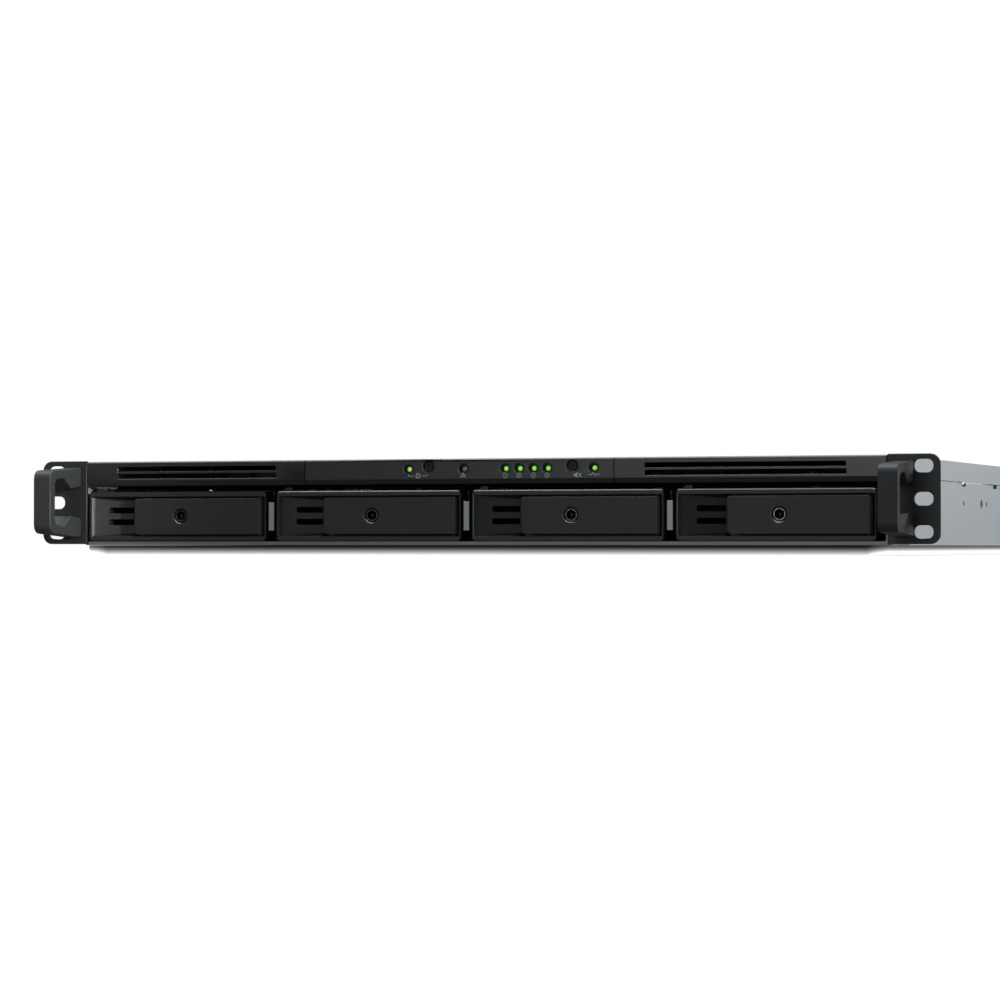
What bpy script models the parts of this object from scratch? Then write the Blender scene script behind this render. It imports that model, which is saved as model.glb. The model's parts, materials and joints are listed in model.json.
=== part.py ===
"""One-rack-unit network storage enclosure with four drive bays.

Frame: metres, +X to the right seen from the front, +Y to the rear, +Z up.
The origin is at the bottom centre of the whole object.
"""
import math

import bmesh
import bpy
from mathutils import Matrix, Vector

MM = 0.001

# ---------------------------------------------------------------- overall sizes
DEPTH = 327.5 * MM             # handle fronts to rear screw heads
BODY_WIDTH = 430 * MM          # chassis between the rack rails
BODY_HEIGHT = 43.5 * MM        # underside to top of the cover
HANDLE_REACH = 35 * MM         # handle front to ear face
SHEET = 1.0 * MM               # steel sheet of the chassis
GAP = 0.3 * MM                 # clearance between pieces that touch

SCREW_HEAD = 1.8 * MM          # height of every small screw head
FRONT = -DEPTH / 2 + HANDLE_REACH
REAR = DEPTH / 2 - SCREW_HEAD - SHEET - 2 * GAP
WALL_OUT = BODY_WIDTH / 2
WALL_IN = WALL_OUT - SHEET

# ---------------------------------------------------------------- rack ears
EAR_REACH = 24.0 * MM          # each ear's reach beyond the chassis side
EAR_THICK = 2.0 * MM
EAR_INNER = WALL_OUT - 1.6 * MM
EAR_BOTTOM = 0.5 * MM
EAR_TOP = BODY_HEIGHT + 0.4 * MM
EAR_CORNER = 5.0 * MM
EAR_FLANGE = 42 * MM           # length of the flange along the chassis side
SLOT_LENGTH = 9.4 * MM
SLOT_HEIGHT = 6.5 * MM
SLOT_PITCH = 15.875 * MM       # rack hole spacing
SLOT_INSET = 8.0 * MM          # slot centre to outer edge of the ear
SCREW_BORE = 1.6 * MM          # clearance hole radius for every small screw
SCREW_SHANK = 1.4 * MM
SCREW_HEAD_RADIUS = 2.8 * MM

# ---------------------------------------------------------------- handles
HANDLE_WIDTH = 9.6 * MM
HANDLE_GRIP = 5.6 * MM         # grip thickness, front to back
HANDLE_HEIGHT = 36.3 * MM      # at the ear
HANDLE_TAPER = 1.8 * MM        # each side, ear to grip
HANDLE_CORNER = 4.6 * MM       # radius at the front of the grip
HANDLE_CORNER_STEPS = 4
HANDLE_LEG = 9.8 * MM          # leg height at the ear
HANDLE_KNEE = 11.6 * MM        # where a leg starts to thin towards the grip
HANDLE_WAIST = 19.5 * MM       # where a leg is thinnest
HANDLE_LEG_THIN = 5.0 * MM
HANDLE_EDGE = 0.8 * MM
HANDLE_SCREW_BORE = 2.0 * MM
HANDLE_SCREW_DEPTH = 8.0 * MM

# ---------------------------------------------------------------- drive bays
BAY_COUNT = 4
BAY_SIDES = 4.0 * MM           # body width that the bays leave over
BAY_PITCH = (BODY_WIDTH - BAY_SIDES) / BAY_COUNT
TRAY_SPACE = 5.9 * MM          # between two tray fronts
TRAY_WIDTH = BAY_PITCH - TRAY_SPACE
LOCK_OFFSET = 2.0 * MM         # lock to the right of the tray's middle
TRAY_LEFT = TRAY_WIDTH / 2 + LOCK_OFFSET
TRAY_RIGHT = TRAY_WIDTH / 2 - LOCK_OFFSET
TRAY_BOTTOM = 1.2 * MM + SHEET
TRAY_HEIGHT = 25.4 * MM
TRAY_TOP = TRAY_BOTTOM + TRAY_HEIGHT
LOCK_HEIGHT = TRAY_BOTTOM + 12.9 * MM

DRIVE_WIDTH = 101.6 * MM
DRIVE_LENGTH = 147 * MM
DRIVE_HEIGHT = 26.1 * MM
DRIVE_BOTTOM = TRAY_BOTTOM
DRIVE_LID = 1.2 * MM
DRIVE_RIM = 3.0 * MM

DIVIDER_OFFSET = TRAY_RIGHT + TRAY_SPACE / 2 - 0.15 * MM   # lock centre to the divider on its right
DIVIDER_TOP = DRIVE_BOTTOM + DRIVE_HEIGHT
BAR_WIDTH = 2.0 * MM + SHEET   # folded front edge of a divider
BAR_LOW = TRAY_BOTTOM + 5.2 * MM
BAR_HEIGHT = 14.6 * MM

TRAY_DEEP = 12.0 * MM          # front box of the tray
TRAY_BACK = 2.0 * MM
TRAY_CORNER = 1.8 * MM
TRAY_LIP_TOP = 2.5 * MM
TRAY_LIP_BOTTOM = 2.2 * MM
TRAY_LIP_RIGHT = 1.1 * MM
ARM_THICK = 0.8 * MM           # side arms that hold the drive
ARM_HEIGHT = 4.6 * MM
ARM_RISE = 0.6 * MM            # arms pass this far above the divider bars
ARM_SHORT = 1.0 * MM           # an arm ends this far before the drive's length
SHOULDER = 2.3 * MM            # wall between the front box and the drive
DRIVE_SETBACK = TRAY_DEEP + SHOULDER + GAP
DIVIDER_LENGTH = DRIVE_SETBACK + DRIVE_LENGTH + 1.4 * MM
POCKET_EDGE = 1.2 * MM
POCKET_SHALLOW = 2.0 * MM      # pocket depth at its outer end
POCKET_DRAFT = 2.0 * MM
VENT_INSET = 9.6 * MM          # tray's left edge to its vent slots
VENT_HEIGHT = 2.8 * MM
VENT_CORNER = 0.8 * MM
VENT_CENTRES = (LOCK_HEIGHT + 3.0 * MM, LOCK_HEIGHT - 3.15 * MM)
TAB_INSET = 4.4 * MM           # tray's left edge to the spring tab
TAB_WIDTH = 3.6 * MM
TAB_RAMP = 2.6 * MM
TAB_HEIGHT = 2.0 * MM

LEVER_LENGTH = 73.5 * MM
LEVER_RIGHT = TRAY_RIGHT - TRAY_LIP_RIGHT - 0.5 * MM
LEVER_LEFT = LEVER_LENGTH - LEVER_RIGHT     # lock centre to the lever's free end
LEVER_LOW = TRAY_BOTTOM + TRAY_LIP_BOTTOM + 1.15 * MM
LEVER_HIGH = TRAY_TOP - TRAY_LIP_TOP - 1.0 * MM
LEVER_THICK = 4.5 * MM
LEVER_GAP = 0.8 * MM           # free end to the pocket side
LEVER_CORNERS = (1.4 * MM, 2.2 * MM)    # cut off the free end's upper and lower corner
PIVOT_INSET = 2.5 * MM         # hinge axis behind the face and inside the right end
PIVOT_RADIUS = 1.2 * MM
PIVOT_CLEARANCE = 0.3 * MM
PIVOT_ENGAGE = 1.3 * MM

LOCK_RADIUS = 3.25 * MM
LOCK_SINK = 0.8 * MM
LOCK_END = LEVER_THICK + 4.2 * MM
LOCK_BORE_GAP = 0.25 * MM
LOCK_RECESS = LOCK_RADIUS + 1.0 * MM
LOCK_RECESS_DEEP = 0.7 * MM
KEY_WALL = 0.65 * MM           # barrel wall round the keyhole
KEY_DEEP = 3.0 * MM
CAM_THICK = 1.5 * MM
CAM_REACH = 10.5 * MM
CAM_HALF = 2.0 * MM
TRAY_ROOF = 1.2 * MM           # wall left over the locked cam

# ---------------------------------------------------------------- front strip
BEZEL_HALF = EAR_INNER - 0.4 * MM
BEZEL_TOP = BODY_HEIGHT - 0.1 * MM
BEZEL_LIP = TRAY_TOP + 3.05 * MM
BEZEL_FACE_LOW = BEZEL_LIP + 2.65 * MM
BEZEL_DEEP = 12.0 * MM
BEZEL_WALL = 2.2 * MM
BEZEL_EDGE = 0.6 * MM
LIP_SETBACK = 1.6 * MM
SKIRT_LOW = DRIVE_BOTTOM + DRIVE_HEIGHT + GAP       # rear wall of the strip, just over the drives
SKIRT_THICK = 1.2 * MM
SEAM_LEFT = -89.8 * MM
SEAM_RIGHT = 75.8 * MM
SLIT_HEIGHT = 2.5 * MM
SLIT_CENTRES = (BEZEL_TOP - 3.95 * MM, BEZEL_TOP - 7.6 * MM)
SLIT_LEFT = (17.5 * MM - BEZEL_HALF, SEAM_LEFT - 16.1 * MM)
SLIT_RIGHT = (SEAM_RIGHT + 16.0 * MM, BEZEL_HALF - 20.0 * MM)
RIBS_LEFT = (23.5 * MM, 51.5 * MM, 74.5 * MM)          # from the slit's left end
RIBS_RIGHT = (16.2 * MM, 39.2 * MM, 60.2 * MM, 87.2 * MM)
RIB_START = 4.0 * MM           # vent ribs stand this far behind the face
RIB_THICK = 1.4 * MM
HANG_TAB_WIDTH = 5.3 * MM
HANG_TAB_DROP = 1.25 * MM

LAMP_HEIGHT = BEZEL_TOP - 5.1 * MM
POWER_LAMP = -33.1 * MM
ALERT_LAMP = -3.4 * MM
STATUS_LAMP = 65.2 * MM
DRIVE_LAMP_FIRST = 18.7 * MM
DRIVE_LAMP_PITCH = 7.4 * MM
LAMP_HOLE = 2.05 * MM
LAMP_RADIUS = 1.55 * MM
LAMP_SINK = 2.3 * MM
BUTTON_HEIGHT = BEZEL_TOP - 3.95 * MM
POWER_BUTTON = -22.2 * MM
MUTE_BUTTON = 54.0 * MM
BUTTON_RADIUS = 2.3 * MM
BUTTON_SINK = 0.6 * MM
BUTTON_LENGTH = 7.4 * MM
BUTTON_DIMPLE = 1.4 * MM
FIT = 0.25 * MM                # radial clearance round buttons and lenses
PANEL_BOARD_BACK = BEZEL_DEEP - GAP
RAIL_DROP = (2.8 * MM, 4.4 * MM)   # light guide rail below the lamps

# ---------------------------------------------------------------- inside
BOARD = 1.6 * MM
PLUG_LENGTH = 6.4 * MM
BACKPLANE_FRONT = DRIVE_SETBACK + DRIVE_LENGTH + GAP + PLUG_LENGTH    # behind the ear face
BACKPLANE_TOP = BODY_HEIGHT - 5.5 * MM
BACKPLANE_BOTTOM = SHEET + 2 * MM
PLUG_WIDTH = 33 * MM
PLUG_HEIGHT = 5.5 * MM
PLUG_BOTTOM = DRIVE_BOTTOM + 1.4 * MM

FAN_SIZE = 40 * MM
FAN_DEEP = 20 * MM
FAN_RIM = 1.2 * MM             # frame left beside the bore
FAN_BORE = FAN_SIZE / 2 - FAN_RIM
FAN_HUB = 10.5 * MM
FAN_TIP_GAP = 0.8 * MM
FAN_BLADES = 7
BLADE_THICK = 1.2 * MM
BLADE_PITCH = math.radians(38)
BLADE_SWEEP = 9.0 * MM
STRUT_WIDTH = 2.0 * MM
STRUT_DEEP = 2.2 * MM
FAN_COUNT = 3
FAN_PITCH = 90 * MM

PSU_WIDTH = 82 * MM
PSU_LEFT = 3 * MM - WALL_IN
PSU_HEIGHT = FAN_SIZE + 0.2 * MM
PSU_LENGTH = 114.8 * MM
PSU_WALL = 1.0 * MM
PSU_FAN_X = PSU_LEFT + PSU_WIDTH - PSU_WALL - GAP - FAN_SIZE / 2
INLET_X = PSU_LEFT + 18.5 * MM
INLET_HEIGHT = SHEET + GAP + PSU_HEIGHT / 2 + 0.1 * MM
INLET_SIZE = (27.4 * MM, 19.8 * MM)
INLET_CAVITY = (24.2 * MM, 16.2 * MM)
INLET_DEEP = 22 * MM
INLET_CAVITY_DEEP = 17 * MM
INLET_FLANGE = 1.8 * MM
BLADE_SIZE = (2.0 * MM, 4.0 * MM)
INLET_BLADE_LENGTH = 11 * MM
INLET_BLADE_PITCH = 7 * MM

MAIN_LEFT = PSU_LEFT + PSU_WIDTH + 11 * MM
MAIN_RIGHT = WALL_IN - 9 * MM
MAIN_DEPTH = 84.8 * MM
MAIN_FRONT = REAR - SHEET - GAP - MAIN_DEPTH
MAIN_BOTTOM = SHEET + 5.0 * MM
FAN_FIRST = MAIN_LEFT + 48 * MM
FAN_FRONT = MAIN_FRONT - 5 * MM - FAN_DEEP
STANDOFF_RADIUS = 2.6 * MM
STANDOFF_BORE = 1.7 * MM
STANDOFF_INSET = 6 * MM

JACK_SIZE = (31.0 * MM, 21.0 * MM, 13.5 * MM)
JACK_CAVITY = (11.8 * MM, 14.0 * MM, 8.6 * MM)
JACK_PITCH = 14.6 * MM
JACK_X = MAIN_LEFT + 32 * MM
USB_SIZE = (14.4 * MM, 17.0 * MM, 15.6 * MM)
USB_CAVITY = (12.6 * MM, 12.0 * MM, 5.4 * MM)
USB_PITCH = 7.6 * MM
USB_TONGUE = 1.9 * MM
USB_X = MAIN_LEFT + 70 * MM
EXPANSION_SIZE = (17.0 * MM, 15.0 * MM, 8.0 * MM)
EXPANSION_CAVITY = (13.4 * MM, 10.0 * MM, 5.6 * MM)
EXPANSION_X = MAIN_LEFT + 106 * MM
RESET_X = MAIN_LEFT + 126 * MM
RESET_HEIGHT = MAIN_BOTTOM + 6.5 * MM
RESET_RADIUS = 1.2 * MM
RESET_LENGTH = 6.0 * MM
RESET_SINK = 0.6 * MM
UPGRADE_X = (MAIN_LEFT + 148 * MM, MAIN_LEFT + 218 * MM)
UPGRADE_Z = (MAIN_BOTTOM + 1.5 * MM, MAIN_BOTTOM + 14.5 * MM)

REAR_VENT_Z = (BODY_HEIGHT - 18 * MM, BODY_HEIGHT - 13 * MM, BODY_HEIGHT - 8 * MM)
REAR_VENT_HEIGHT = 2.6 * MM
REAR_VENT_FIRST = MAIN_LEFT + 12 * MM
REAR_VENT_LENGTH = 30 * MM
REAR_VENT_PITCH = 35 * MM
REAR_VENT_COLUMNS = 9

HOOK_STARTS = (69 * MM, 152 * MM, 235 * MM)   # behind the ear face
HOOK_LENGTH = 23 * MM
HOOK_DROP = 4.0 * MM
COVER_SKIRT = 10.5 * MM        # height of the cover's side flanges
SEAM_HEIGHT = BODY_HEIGHT - COVER_SKIRT
SHELF_WIDTH = 12.2 * MM        # small shelf folded in from the left wall
SHELF_LEVEL = DIVIDER_TOP + 1.3 * MM
SIDE_HOLES = ((169.5 * MM, 1.5 * MM), (216 * MM, 2.6 * MM), (229.4 * MM, 1.5 * MM))
SIDE_HOLE_HEIGHT = 21.8 * MM


# ---------------------------------------------------------------- shape tools
def circle(radius, steps=24, centre=(0.0, 0.0), turn=0.0):
    """Points of a circle, anticlockwise."""
    return [
        (centre[0] + radius * math.cos(turn + math.tau * i / steps),
         centre[1] + radius * math.sin(turn + math.tau * i / steps))
        for i in range(steps)
    ]


def rounded(span_u, span_v, radii, steps=4):
    """Rectangle with its own radius at each corner, anticlockwise from low u, low v."""
    (u0, u1), (v0, v1) = span_u, span_v
    corners = ((u0, v0, 1, 1, 180), (u1, v0, -1, 1, 270), (u1, v1, -1, -1, 0), (u0, v1, 1, -1, 90))
    points = []
    for (u, v, su, sv, start), radius in zip(corners, radii):
        if radius <= 0:
            points.append((u, v))
            continue
        for i in range(steps + 1):
            angle = math.radians(start + 90 * i / steps)
            points.append((u + su * radius + radius * math.cos(angle),
                           v + sv * radius + radius * math.sin(angle)))
    return points


class Shape:
    """A body put together from boxes, prisms and discs that don't overlap."""

    AXES = {"X": (0, 1, 2), "Y": (1, 0, 2), "Z": (2, 0, 1)}

    def __init__(self, mesh=None):
        self.data = bmesh.new()
        if mesh is not None:
            self.data.from_mesh(mesh)

    def prism(self, outline, axis, span):
        """Add a flat outline drawn out along an axis."""
        along, across, up = self.AXES[axis]
        rings = []
        for level in span:
            ring = []
            for u, v in outline:
                point = [0.0, 0.0, 0.0]
                point[along], point[across], point[up] = level, u, v
                ring.append(self.data.verts.new(point))
            rings.append(ring)
        self.data.faces.new(rings[0])
        self.data.faces.new(rings[1])
        for i in range(len(outline)):
            j = (i + 1) % len(outline)
            self.data.faces.new((rings[0][i], rings[0][j], rings[1][j], rings[1][i]))
        return self

    def box(self, x, y, z):
        """Add a box given by its span on each axis."""
        return self.prism([(x[0], y[0]), (x[1], y[0]), (x[1], y[1]), (x[0], y[1])], "Z", z)

    def hull(self, points):
        """Add the convex body round some points."""
        corners = [self.data.verts.new(point) for point in points]
        bmesh.ops.convex_hull(self.data, input=corners)
        return self

    def disc(self, centre, radius, axis, span, steps=24):
        """Add a round bar."""
        return self.prism(circle(radius, steps, centre), axis, span)

    def cone(self, centre, radii, axis, span, steps=24):
        """Add a round bar whose two ends have their own radius."""
        along, across, up = self.AXES[axis]
        points = []
        for radius, level in zip(radii, span):
            for u, v in circle(radius, steps, centre):
                point = [0.0, 0.0, 0.0]
                point[along], point[across], point[up] = level, u, v
                points.append(point)
        return self.hull(points)

    def mesh(self):
        """Close the shape and hand it over as a mesh."""
        bmesh.ops.recalc_face_normals(self.data, faces=self.data.faces)
        mesh = bpy.data.meshes.new("shape")
        self.data.to_mesh(mesh)
        return mesh

    def combine(self, other, operation):
        """Boolean of this shape with another."""
        host = bpy.data.objects.new("host", self.mesh())
        guest = bpy.data.objects.new("guest", other.mesh())
        for thing in (host, guest):
            bpy.context.collection.objects.link(thing)
        step = host.modifiers.new("step", "BOOLEAN")
        step.operation = operation
        step.solver = "EXACT"
        step.object = guest
        graph = bpy.context.evaluated_depsgraph_get()
        mesh = bpy.data.meshes.new_from_object(host.evaluated_get(graph))
        for thing in (host, guest):
            bpy.data.objects.remove(thing)
        return Shape(mesh)

    def cut(self, other):
        return self.combine(other, "DIFFERENCE")

    def join(self, other):
        return self.combine(other, "UNION")

    def bevelled(self, width, angle=math.radians(50), segments=1):
        """Chamfer or round every edge sharper than an angle."""
        edges = [e for e in self.data.edges if len(e.link_faces) == 2 and e.calc_face_angle(0) > angle]
        bmesh.ops.bevel(self.data, geom=edges, offset=width, segments=segments,
                        profile=0.5, affect="EDGES", clamp_overlap=True)
        return self


def material(name, colour, roughness, metallic=0.0):
    made = bpy.data.materials.new(name)
    made.use_nodes = True
    shader = made.node_tree.nodes["Principled BSDF"]
    shader.inputs["Base Color"].default_value = (*colour, 1.0)
    shader.inputs["Roughness"].default_value = roughness
    shader.inputs["Metallic"].default_value = metallic
    return made


def place(name, mesh, finish, pivot=(0.0, 0.0, 0.0), offset=(0.0, 0.0, 0.0)):
    """Add a node. Its origin goes to pivot, and the whole node is moved by offset."""
    if mesh.users == 0:
        mesh.transform(Matrix.Translation(-Vector(pivot)))
        mesh.materials.clear()
        mesh.materials.append(finish)
        mesh.shade_smooth()
        mesh.set_sharp_from_angle(angle=math.radians(30))
    made = bpy.data.objects.new(name, mesh)
    made.location = Vector(pivot) + Vector(offset)
    bpy.context.collection.objects.link(made)
    return made


def back(distance):
    """Y of a plane this far behind the ear face."""
    return FRONT + distance


def bay_lock(index):
    """X of a bay's lock centre."""
    return (index - (BAY_COUNT - 1) / 2) * BAY_PITCH


# ---------------------------------------------------------------- chassis
def make_base_pan(steel):
    """Bottom with board standoffs, side walls with hook notches, folded front edge and end post."""
    wall_top = SEAM_HEIGHT - GAP / 2
    front = back(EAR_THICK + GAP)
    hem_top = TRAY_BOTTOM - 0.35 * MM
    post = 0.7 * MM
    post_top = 6.0 * MM
    outline = [
        (-WALL_OUT, wall_top), (-WALL_OUT, 0), (WALL_OUT, 0), (WALL_OUT, wall_top),
        (WALL_IN, wall_top), (WALL_IN, SHEET), (-WALL_IN, SHEET), (-WALL_IN, wall_top),
    ]
    pan = Shape().prism(outline, "Y", (front, REAR - SHEET - GAP))
    edge_in = EAR_INNER - GAP
    edge = Shape().prism(
        [(-edge_in, 0.1 * MM), (edge_in, 0.1 * MM), (edge_in, post_top), (edge_in - post, post_top),
         (edge_in - post, hem_top + post), (edge_in - 2 * post, hem_top), (-edge_in, hem_top)],
        "Y", (back(1.5 * MM), back(5.0 * MM)))
    pan = pan.join(edge)
    shelf = Shape().box((-WALL_IN - SHEET / 2, SHELF_WIDTH - WALL_IN),
                        (back(BEZEL_DEEP + 1 * MM), back(24 * MM)),
                        (SHELF_LEVEL, SHELF_LEVEL + SHEET))
    pan = pan.join(shelf)
    notches = Shape()
    for start in HOOK_STARTS:
        for side in (-1, 1):
            x = sorted((side * (WALL_IN - SHEET), side * (WALL_OUT + SHEET)))
            notches.prism([(back(start), wall_top + SHEET), (back(start + 2 * MM), wall_top - 2 * MM),
                           (back(start + HOOK_LENGTH), wall_top - 2 * MM),
                           (back(start + HOOK_LENGTH), wall_top + SHEET)], "X", x)
    holes = Shape()
    for side in (-1, 1):
        x = sorted((side * (WALL_IN - SHEET), side * (WALL_OUT + SHEET)))
        for distance, radius in SIDE_HOLES:
            holes.disc((back(distance), SIDE_HOLE_HEIGHT), radius, "X", x, 16)
        for y, z in ear_screw_places():
            holes.disc((y, z), SCREW_BORE, "X", x, 12)
    posts = Shape()
    for centre in standoff_places():
        posts.disc(centre, STANDOFF_RADIUS, "Z", (SHEET / 2, MAIN_BOTTOM - GAP), 6)
    place("base_pan", pan.cut(notches).cut(holes).join(posts).mesh(), steel)


def ear_screw_places():
    """Y and Z of the screws that hold each ear to the chassis side."""
    return [(back(distance), height) for distance, height in
            ((12 * MM, 8 * MM), (12 * MM, 28 * MM), (34 * MM, 18 * MM))]


def make_top_cover(steel):
    """Cover with side flanges, hook tabs and a rear flange for its screws."""
    front = back(BEZEL_DEEP + GAP)
    rear = REAR + GAP + SHEET
    low = SEAM_HEIGHT + GAP / 2
    cover = Shape().prism(
        [(-WALL_OUT, low), (-WALL_IN, low), (-WALL_IN, BODY_HEIGHT - SHEET), (WALL_IN, BODY_HEIGHT - SHEET),
         (WALL_IN, low), (WALL_OUT, low), (WALL_OUT, BODY_HEIGHT), (-WALL_OUT, BODY_HEIGHT)],
        "Y", (front, rear))
    flange = Shape().box((-WALL_IN - SHEET / 2, WALL_IN + SHEET / 2), (rear - SHEET, rear),
                         (SEAM_HEIGHT + 4 * MM, BODY_HEIGHT - SHEET / 2))
    tabs = Shape()
    for start in HOOK_STARTS:
        for side in (-1, 1):
            inner = WALL_IN - GAP - SHEET
            profile = [(side * inner, SEAM_HEIGHT - HOOK_DROP), (side * (inner + SHEET), SEAM_HEIGHT - HOOK_DROP),
                       (side * (inner + SHEET), low + SHEET), (side * (WALL_IN + SHEET / 2), low + SHEET),
                       (side * (WALL_IN + SHEET / 2), low + 2 * SHEET), (side * inner, low + 2 * SHEET)]
            tabs.prism(profile, "Y", (back(start + 4 * MM), back(start + HOOK_LENGTH - 3 * MM)))
    holes = Shape()
    for x in cover_screw_places():
        holes.disc((x, cover_screw_height()), SCREW_BORE, "Y", (rear - 2 * SHEET, rear + SHEET), 12)
    place("top_cover", cover.join(flange).join(tabs).cut(holes).mesh(), steel)


def cover_screw_places():
    return (-WALL_OUT + 12 * MM, 0.0, WALL_OUT - 12 * MM)


def cover_screw_height():
    return SEAM_HEIGHT + 6.5 * MM


def make_cover_screws(zinc):
    """Screws that hold the cover's rear flange, each a head and a shank with a cross recess."""
    seat = REAR + GAP + SHEET + GAP
    centre = (0, cover_screw_height())
    head = Shape().disc(centre, SCREW_HEAD_RADIUS, "Y", (seat, seat + SCREW_HEAD), 16)
    shank = Shape().disc(centre, SCREW_SHANK, "Y", (REAR - SHEET, seat + SCREW_HEAD / 2), 12)
    cross = Shape()
    slot, reach = 0.35 * MM, 1.5 * MM
    outline = [(-reach, -slot), (-slot, -slot), (-slot, -reach), (slot, -reach), (slot, -slot), (reach, -slot),
               (reach, slot), (slot, slot), (slot, reach), (-slot, reach), (-slot, slot), (-reach, slot)]
    cross.prism([(x, centre[1] + z) for x, z in outline], "Y",
                (seat + SCREW_HEAD / 2, seat + 2 * SCREW_HEAD))
    mesh = head.join(shank).cut(cross).mesh()
    for number, x in enumerate(cover_screw_places(), 1):
        place(f"cover_screw_{number}", mesh, zinc, offset=(x, 0, 0))


def make_dividers(steel):
    """Sheet walls between the bays, each with a folded bar at its front edge."""
    wall = Shape().box((-SHEET / 2, SHEET / 2), (back(1.2 * MM), back(DIVIDER_LENGTH)),
                       (SHEET + GAP, DIVIDER_TOP))
    bar_high = BAR_LOW + BAR_HEIGHT
    rebate = Shape()
    rebate.box((-SHEET, SHEET), (back(0), back(6 * MM)), (0, BAR_LOW))
    rebate.box((-SHEET, SHEET), (back(0), back(6 * MM)), (bar_high, DIVIDER_TOP + SHEET))
    bar = Shape().box((-BAR_WIDTH / 2, BAR_WIDTH / 2), (back(0.8 * MM), back(0.9 * MM + SHEET)),
                      (BAR_LOW, bar_high))
    mesh = wall.cut(rebate).join(bar).mesh()
    for index in range(BAY_COUNT):
        place(f"bay_divider_{index + 1}", mesh, steel,
              offset=(bay_lock(index) + DIVIDER_OFFSET, 0, 0))


def make_rear_panel(steel):
    """Rear sheet with the vents, socket cut-outs and cover screw holes."""
    x_half = WALL_IN - GAP
    panel = Shape().box((-x_half, x_half), (REAR - SHEET, REAR), (SHEET + GAP, BODY_HEIGHT - SHEET - GAP))
    through = (REAR - 2 * SHEET, REAR + SHEET)
    holes = Shape()
    for column in range(REAR_VENT_COLUMNS):
        start = REAR_VENT_FIRST + column * REAR_VENT_PITCH
        for height in REAR_VENT_Z:
            holes.box((start, start + REAR_VENT_LENGTH), through,
                      (height - REAR_VENT_HEIGHT / 2, height + REAR_VENT_HEIGHT / 2))
    for step in range(-2, 3):
        height = psu_fan_height() + step * 6.5 * MM
        holes.box((PSU_FAN_X - 15 * MM, PSU_FAN_X + 15 * MM), through, (height - 1.8 * MM, height + 1.8 * MM))
    rear_window(holes, JACK_X, JACK_SIZE, through)
    rear_window(holes, USB_X, USB_SIZE, through)
    rear_window(holes, EXPANSION_X, EXPANSION_SIZE, through)
    holes.disc((RESET_X, RESET_HEIGHT), RESET_RADIUS + FIT, "Y", through, 12)
    holes.box((UPGRADE_X[0] + 3 * MM, UPGRADE_X[1] - 3 * MM), through,
              (UPGRADE_Z[0] + 2 * MM, UPGRADE_Z[1] - 2 * MM))
    half_w = INLET_SIZE[0] / 2 + GAP
    half_h = INLET_SIZE[1] / 2 + GAP
    holes.box((INLET_X - half_w, INLET_X + half_w), through, (INLET_HEIGHT - half_h, INLET_HEIGHT + half_h))
    for x in cover_screw_places():
        holes.disc((x, cover_screw_height()), SCREW_BORE, "Y", through, 12)
    place("rear_panel", panel.cut(holes).mesh(), steel)


def board_top():
    return MAIN_BOTTOM + BOARD


def rear_window(shape, centre, size, through):
    """Cut-out round a socket that stands on the main board."""
    low = board_top()
    shape.box((centre - size[0] / 2 - GAP, centre + size[0] / 2 + GAP), through,
              (low, low + size[2] + 2 * GAP))


# ---------------------------------------------------------------- ears and handles
def handle_centre_height():
    return (EAR_BOTTOM + EAR_TOP) / 2


def handle_leg_heights():
    """Z of the middle of each handle leg at the ear."""
    reach = (HANDLE_HEIGHT - HANDLE_LEG) / 2
    return (handle_centre_height() - reach, handle_centre_height() + reach)


def handle_x():
    """Inner and outer X of the right handle."""
    inner = WALL_OUT + GAP + EAR_THICK - 0.7 * MM
    return inner, inner + HANDLE_WIDTH


def mirrored(span, side):
    return sorted((side * span[0], side * span[1]))


def make_ear(name, side, black):
    """L-shaped rack ear with three oblong slots."""
    outer = WALL_OUT + EAR_REACH
    radii = (0, EAR_CORNER, EAR_CORNER, 0)
    if side < 0:
        radii = (EAR_CORNER, 0, 0, EAR_CORNER)
    face = rounded(mirrored((EAR_INNER, outer), side), (EAR_BOTTOM, EAR_TOP), radii, 5)
    ear = Shape().prism(face, "Y", (FRONT, back(EAR_THICK)))
    flange = Shape().box(mirrored((WALL_OUT + GAP, WALL_OUT + GAP + EAR_THICK), side),
                         (back(EAR_THICK / 2), back(EAR_FLANGE)), (EAR_BOTTOM, EAR_TOP - EAR_CORNER))
    holes = Shape()
    centre = handle_centre_height()
    for step in (-1, 0, 1):
        x = side * (outer - SLOT_INSET)
        z = centre + step * SLOT_PITCH
        r = SLOT_HEIGHT / 2
        slot = rounded((x - SLOT_LENGTH / 2, x + SLOT_LENGTH / 2), (z - r, z + r), (r * 0.9,) * 4, 5)
        holes.prism(slot, "Y", (back(-EAR_THICK), back(2 * EAR_THICK)))
    for y, z in ear_screw_places():
        holes.disc((y, z), SCREW_BORE, "X", mirrored((WALL_OUT - SHEET, WALL_OUT + 3 * EAR_THICK), side), 12)
    x = side * sum(handle_x()) / 2
    for z in handle_leg_heights():
        holes.disc((x, z), HANDLE_SCREW_BORE, "Y", (back(-EAR_THICK), back(2 * EAR_THICK)), 12)
    place(name, ear.join(flange).cut(holes).mesh(), black)


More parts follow.
